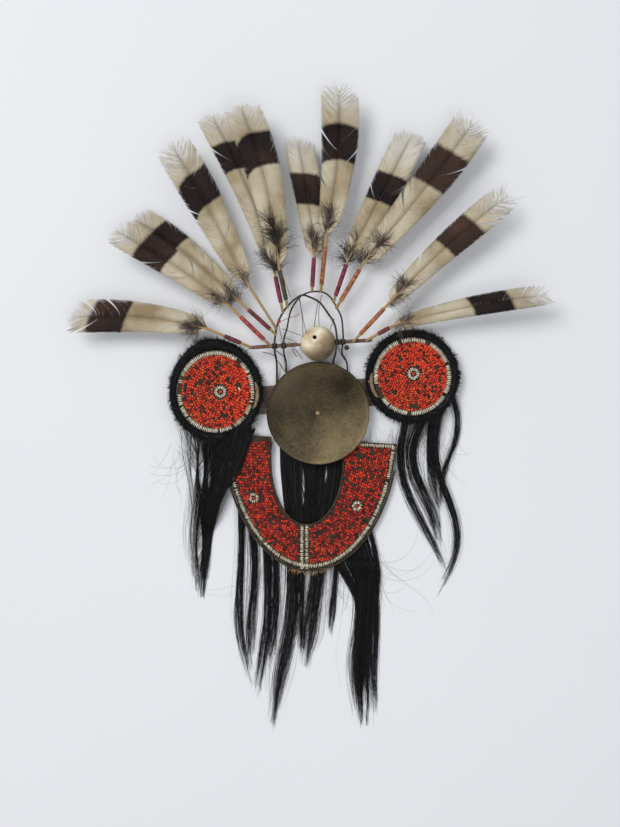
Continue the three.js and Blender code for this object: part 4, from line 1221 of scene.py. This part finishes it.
def add_fuzz(heap, root, lock, level, count, partings=()):
    """A few fine hairs that stand off the sides of a lock."""
    angle, length, width, *way = lock
    wider = (angle, length * 0.97, width * 1.5 + 0.45, *way)
    add_lock(heap, root, wider, level, count, FINE_HAIR, partings)


def add_fan(heap, rows, count, clumps, lean, partings, level, over=None):
    """Strands that run through rows of height, left end and right end, gathered in clumps."""
    k = FAN_POINTS
    y_rows, low, high = np.array(rows, float).T
    u, which = clumped(count, clumps, 0.35)
    u = np.clip(u, 0, 1) ** lean
    end = rng.uniform(0.88, 1.02, clumps)[which] * rng.uniform(0.8, 1.03, count)
    t = np.linspace(0, 1, k)[None] * np.clip(end, 0, 1)[:, None]
    y = y_rows[0] + (y_rows[-1] - y_rows[0]) * t + rng.normal(0, 2, (count, 1))
    left, right = (np.interp(y, y_rows[::-1], ends[::-1]) for ends in (low, high))
    x = left + u[:, None] * (right - left) + wander(clumps, k, 2.0)[which]
    x = x + wander(count, k, 1.1) + kinks(count, k, 0.6)
    x = part_hair(x, y, partings)
    z = level * (1 - ease(t / 0.3)) + 0.3 + rng.uniform(0, 5, (count, 1)) * (1 - 0.6 * t)
    if over is not None:
        edge, height = over
        z = np.maximum(z, height * ease((x - edge) / 14) + rng.uniform(0, 2.5, (count, 1)))
    add_hairs(heap, x, y, z, LOCK_HAIR)


def add_stray_hairs(heap, low, high, count, length):
    """Single curved hairs rooted between two corners of a box, each falling at random."""
    k = STRAY_POINTS
    share = np.linspace(0, 1, k)[None]
    root = rng.uniform(low, high, (count, 3))
    heading = rng.normal(-math.pi / 2, 0.5, (count, 1))
    turn = heading + rng.normal(0, 1.1, (count, 1)) * share ** 1.3 + wander(count, k, 0.3)
    step = rng.uniform(0.4, 1, (count, 1)) * length / k
    x = root[:, :1] + np.cumsum(np.cos(turn) * step, axis=1)
    y = root[:, 1:2] + np.cumsum(np.sin(turn) * step, axis=1)
    add_hairs(heap, x, y, root[:, 2:] * (1 - ease(share * 2)) + 0.4, FINE_HAIR)


print("hair helpers ready")

# %% [markdown]
# The pile is a ring of short curls rooted outside the disc's rim. A low dark bed lies under
# it, so that fewer curls are needed to hide what is below. At one side of each disc a strip
# of bare hide shows over the inner edge of the pile.

# %% Pile round the ear discs
def thicker_above(side, turn):
    """How much wider the pile is over the top of the disc."""
    return EARS[side]["thick"] * np.exp(-((turn - 1.75) / 0.6) ** 2)


def add_pile(heap, side, count):
    """Short curly hair that leans out and away from the disc, as a ragged dark ring."""
    turn = rng.uniform(0, 2 * math.pi, count)
    spread = rng.random(count)
    ragged = sum(np.sin(turn * waves + start) for waves, start in PILE_WAVES)
    width = PILE_WIDTH - 4.5 + 0.8 * ragged + thicker_above(side, turn)
    r = (EAR_RADIUS + 1.5 + width * spread)[:, None]
    swirl = rng.normal(0, 0.9, count)
    spike = rng.random(count) < 0.16
    swirl = np.where(spike, swirl * 0.4, swirl)[:, None]
    reach = (rng.uniform(3.5, 8.5, count) * np.where(spike, 1.35, 1 - 0.25 * spread))[:, None]
    share = np.linspace(0, 1, PILE_POINTS)[None]
    out = r + reach * np.cos(swirl) * share * 0.8
    curl = rng.normal(0, 0.9, (count, 1)) * np.sin(math.pi * share)
    bend = turn[:, None] + (reach * np.sin(swirl) * share + curl) / out
    crest = PILE_BASE + PILE_DEPTH * (0.35 + 0.65 * np.sin(math.pi * (0.15 + 0.7 * spread)))[:, None]
    arch = 2.2 * np.sin(math.pi * share) * rng.uniform(-0.5, 1, (count, 1))
    z = crest - 5 * (1 - share) + arch - 2 * share ** 2
    add_hairs(heap, *np.moveaxis(round_ear(side, bend, out, z), 2, 0), PILE_HAIR)


def sheet_faces(rows, points, closed):
    """Triangles between rows of points, which join up into rings where closed is true."""
    faces = []
    for row in range(rows):
        a, b = row * points, (row + 1) % rows * points
        for i in range(points if closed else points - 1):
            j = (i + 1) % points
            faces += [[a + i, a + j, b + j], [a + i, b + j, b + i]]
    return np.array(faces)


def add_pile_bed(heap, side):
    """A low dark ring under the pile, so that no light comes through."""
    turn = np.linspace(0, 2 * math.pi, 97)[:-1]
    rings = []
    for out, z in ((1.0, 0), (PILE_WIDTH - 4, 0), (PILE_WIDTH - 4, 2.5), (PILE_WIDTH * 0.5, 4.5), (1.0, 3)):
        r = EAR_RADIUS + out + 0.7 * np.sin(turn * 17 + z) + thicker_above(side, turn) * (out > 1) * 0.9
        rings.append(round_ear(side, turn, r, PILE_BASE + z))
    points = np.vstack(rings)
    heap.add(points, sheet_faces(len(rings), len(turn), True), np.zeros((len(points), 2)))


def hide_edge(side, low, high):
    """A bare strip of hide over the pile's inner edge, between two turns in degrees."""
    turn = np.radians(np.linspace(low, high, 24))
    share = np.sin(np.linspace(0, math.pi, 24)) ** 0.4
    rows = []
    for out, z in ((1.0, 0.0), (2.5, 1.2), (6.5, 1.0), (8.5, -1.5)):
        r = EAR_RADIUS + 1 + (out - 1) * share + 0.3 * np.sin(turn * 40 + out)
        rows.append(round_ear(side, turn, r, PILE_BASE + PILE_DEPTH + z * share))
    heap, points = Heap(), np.vstack(rows)
    heap.add(points, sheet_faces(len(rows), len(turn), False), np.zeros((len(points), 2)))
    dress(heap.build(f"hide_edge_{side}"), PALE_HIDE)


PALE_HIDE = hide_material("pale_hide", [(0.34, (0.1, 0.07, 0.04)), (0.5, (0.2, 0.145, 0.08)),
                                        (0.66, (0.32, 0.25, 0.16))], 160)
hide_edge("left", -24, 14)
hide_edge("right", 174, 212)

# %% [markdown]
# Long locks hang from each pile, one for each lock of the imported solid. At the left they
# also run together in one broad fan, which is parted in a few places.

# %% Locks that hang from the ear discs
LEFT_PARTINGS = [(-155.0, -108, 28, 7), (-224, -118, 45, 6), (-210, -128, 45, 5), (-196, -142, 34, 3),
                 (-213, -264, 46, 5)]
LEFT_FAN = [(-60, -246, -112), (-106, -243, -133), (-151, -233, -154), (-196, -227, -178), (-250, -231, -192),
            (-304, -229, -198), (-362, -222, -206)]


def ear_root(side, angle):
    x, y, _ = round_ear(side, math.radians(angle - 90), EAR_RADIUS + PILE_WIDTH * 0.45, 0)
    return x, y


def ear_hair(side, locks, counts):
    pile = Heap()
    add_pile_bed(pile, side)
    add_pile(pile, side, 3600)
    dress(pile.build(f"pile_{side}"), HAIR, [f"ear_hair_{side}"])
    fall = Heap()
    partings = LEFT_PARTINGS if side == "left" else ()
    for lock, count in zip(locks, counts):
        root = ear_root(side, lock[0])
        add_lock(fall, root, lock, PILE_BASE + 0.5, count, partings=partings)
        add_fuzz(fall, root, lock, PILE_BASE + 0.5, 16, partings)
    if side == "left":
        add_fan(fall, LEFT_FAN, 380, 13, 0.42, partings, 14, (-186, BIB_FACE + 3.2))
    x, y = EARS[side]["middle"]
    add_stray_hairs(fall, (x - 80, y - 110, 2), (x + 70, y - 80, 14), 70, 120)
    dress(fall.build(f"locks_{side}"), HAIR)


ear_hair("left", LEFT_LOCKS, (14, 24, 90, 110, 90))
ear_hair("right", RIGHT_LOCKS, (90, 120, 80, 100, 70))

# %% [markdown]
# The fringe is a row of locks along the bib's outer edge, with one broad fan at the right.

# %% Fringe of the bib
FRINGE_FAN = [(-292, 22, 92), (-331, 45, 106), (-371, 66, 110), (-439, 64, 109), (-513, 66, 109),
              (-592, 75, 108)]
FRINGE_PARTINGS = [(98, -420, 60, 3), (84, -540, 70, 4)]


def bib_fringe():
    heap = Heap()
    for lock in FRINGE:
        root = bib_point(BIB_OUTER, math.radians(lock[0] - 90), -8)
        add_lock(heap, root, lock, 0, int(45 + 115 * lock[2]))
        add_fuzz(heap, root, lock, 0, 18)
    add_fan(heap, FRINGE_FAN, 300, 6, 1.0, FRINGE_PARTINGS, 4)
    add_stray_hairs(heap, (-130, -320, 1), (120, -250, 6), 120, 150)
    return dress(heap.build("fringe"), HAIR, ["hair_fringe"])


bib_fringe()

# %% [markdown]
# A flat bundle of straight hair shows through the mouth of the bib. It narrows to its foot,
# and two partings let the sheet show through.

# %% Bundle behind the mouth of the bib
BACK_HAIR = {"x": -20.0, "top": -41.6, "length": 212.0, "width": 116.0}
PARTINGS = [(-26.5, -166.0, 42.0, 2.4), (14.4, -146.0, 20.0, 2.4)]


def back_bundle():
    heap = Heap()
    k, count = BACK_POINTS, 1200
    share = np.linspace(0, 1, k)[None]
    across = rng.uniform(-1, 1, (count, 1))
    left, right, middle = (np.interp(share, [0, 0.2, 0.45, 0.7, 1.0], widths) for widths in (
        [0.36, 0.45, 0.44, 0.38, 0.27], [0.42, 0.53, 0.53, 0.46, 0.32], [0.02, 0.03, 0.03, 0.02, 0.0]))
    half = np.where(across < 0, left, right)
    x = BACK_HAIR["x"] + BACK_HAIR["width"] * (middle + across * half) + wander(count, k, 0.9)
    y = BACK_HAIR["top"] - BACK_HAIR["length"] * share * rng.uniform(0.93, 1, (count, 1))
    x = part_hair(x, y, PARTINGS)
    z = 0.4 + (FRINGE_HEAD - 1.6) * np.sqrt(np.clip(1 - across ** 2, 0, 1)) * rng.random((count, 1))
    add_hairs(heap, x, y, z + 0 * x, BACK_STRAND)
    return dress(heap.build("back_strands"), HAIR, ["back_hair"])


back_bundle()

# %% [markdown]
# A twisted cord of two strands runs under the bib's outer edge, a dark binding follows the
# mouth, and tan cane stitches hold the fringe at the bottom.

# %% Cord, binding and stitches
CORD = uneven_material("twisted_dark_cord", [(0.36, (0.012, 0.009, 0.006)), (0.5, (0.04, 0.028, 0.017)),
                                             (0.66, (0.13, 0.085, 0.045))], (0.6, 0.9), patch=120, grain=1200)
TAN_CANE = uneven_material("tan_cane", [(0.36, (0.2, 0.11, 0.04)), (0.5, (0.42, 0.27, 0.12)),
                                        (0.66, (0.62, 0.46, 0.25))], (0.4, 0.7), patch=90, grain=900)
CORD_LEVEL, CORD_OUT, CORD_RADIUS, CORD_PITCH = 10.3, 2.6, 2.0, 5.2
BINDING_OUT, MOUTH_RADIUS, MOUTH_PITCH = 2.2, 1.7, 4.4


def twisted(heap, path, radius, pitch):
    """Two strands wound round each other along a flat path."""
    along = np.gradient(path, axis=0)
    along /= np.linalg.norm(along, axis=1, keepdims=True)
    side = np.stack([-along[:, 1], along[:, 0], 0 * along[:, 0]], axis=1)
    for start in (0, math.pi):
        turn = (run_along(path) * 2 * math.pi / pitch + start)[:, None]
        offset = side * np.cos(turn) + np.array([0, 0, 1]) * np.sin(turn)
        heap.add(*rod_along(path + offset * radius * 0.55, radius * 0.55, 6))


def bib_cord():
    heap = Heap()
    turn = even_turns(BIB_OUTER, CORD_OUT, -math.pi + 0.18, -0.33, 0.8)
    path = np.column_stack([bib_point(BIB_OUTER, turn, CORD_OUT), np.full(len(turn), CORD_LEVEL)])
    twisted(heap, path, CORD_RADIUS, CORD_PITCH)
    return dress(heap.build("bib_twist"), CORD, ["bib_cord"])


def bib_binding():
    heap = Heap()
    turn = even_turns(BIB_MOUTH, BINDING_OUT, -math.pi - 0.3, 0.3, 1.0)
    path = on_bib(*bib_point(BIB_MOUTH, turn, BINDING_OUT).T, 0.4)
    path = path[path[:, 1] < top_line(path[:, 0]) - 2]
    twisted(heap, path, MOUTH_RADIUS, MOUTH_PITCH)
    return dress(heap.build("mouth_binding"), CORD)


def tan_stitches():
    heap = Heap()
    for _ in range(46):
        turn = -math.pi / 2 + rng.normal(-0.03, 0.13)
        spot = bib_point(BIB_OUTER, turn, rng.uniform(0.5, 9))
        heading = across_edge(BIB_OUTER, turn) + rng.normal(0, 0.9)
        step = np.array([math.cos(heading), math.sin(heading)]) * rng.uniform(3, 8)
        top = (*(spot + rng.normal(0, 0.8, 2)), 10.5 + rng.uniform(0, 1.6))
        points = [(*(spot - step), 6.5), top, (*(spot + step), 8.0)]
        heap.add(*rod_along(smooth_path(points, 7), 0.42, 5))
    return dress(heap.build("stitches"), TAN_CANE)


bib_cord()
bib_binding()
tan_stitches()


# %% [markdown]
# The headdress lies on a pale sheet. One broad light at the upper left makes the soft shadows of
# the photograph, and the sky fills them. The camera looks straight down from 3.5 m.

# %% Sheet
def sheet():
    bpy.ops.mesh.primitive_plane_add(size=6)
    plane = bpy.context.object
    plane.name = "sheet"
    bpy.ops.object.transform_apply(location=True, rotation=True, scale=True)
    material = uneven_material("pale_sheet", [(0.3, (0.81, 0.815, 0.835)), (0.7, (0.83, 0.835, 0.855))],
                               (0.9, 0.98), patch=1.2, grain=900, share=0.05, bump=0.02, depth=0.0002)
    plane.data.materials.append(material)
    return plane


print("stage", sheet().name)

# %% Lights
def soft_light(name, size, energy, place):
    """A round soft lamp that looks at the middle of the headdress."""
    bpy.ops.object.light_add(type="AREA", location=place)
    lamp = bpy.context.object
    lamp.name = name
    lamp.data.shape = "DISK"
    lamp.data.size = size
    lamp.data.energy = energy
    lamp.rotation_euler = (-Vector(place)).to_track_quat("-Z", "Y").to_euler()
    print("lamp", name, energy, "W")


soft_light("window", 3.4, 234, (-2.9, 2.6, 5.6))
soft_light("room", 1.2, 12, (0.36, -0.97, 3.2))
world = bpy.context.scene.world or bpy.data.worlds.new("world")
bpy.context.scene.world = world
world.use_nodes = True
sky = world.node_tree.nodes["Background"]
sky.inputs["Color"].default_value = (0.93, 0.96, 1.0, 1)
sky.inputs["Strength"].default_value = 0.5

# %% Camera
CAMERA_HEIGHT, PHOTO_HEIGHT, SENSOR = 3.5, 1.4886, 36
bpy.ops.object.camera_add(location=(-0.0144, -0.0315, CAMERA_HEIGHT), rotation=(0, 0, 0))
camera = bpy.context.object
camera.name = "photo_camera"
camera.data.sensor_fit = "VERTICAL"
camera.data.sensor_height = SENSOR
camera.data.lens = SENSOR * CAMERA_HEIGHT / PHOTO_HEIGHT
bpy.context.scene.camera = camera
bpy.context.scene.view_settings.view_transform = "Standard"
print("lens", round(camera.data.lens, 1), "mm")
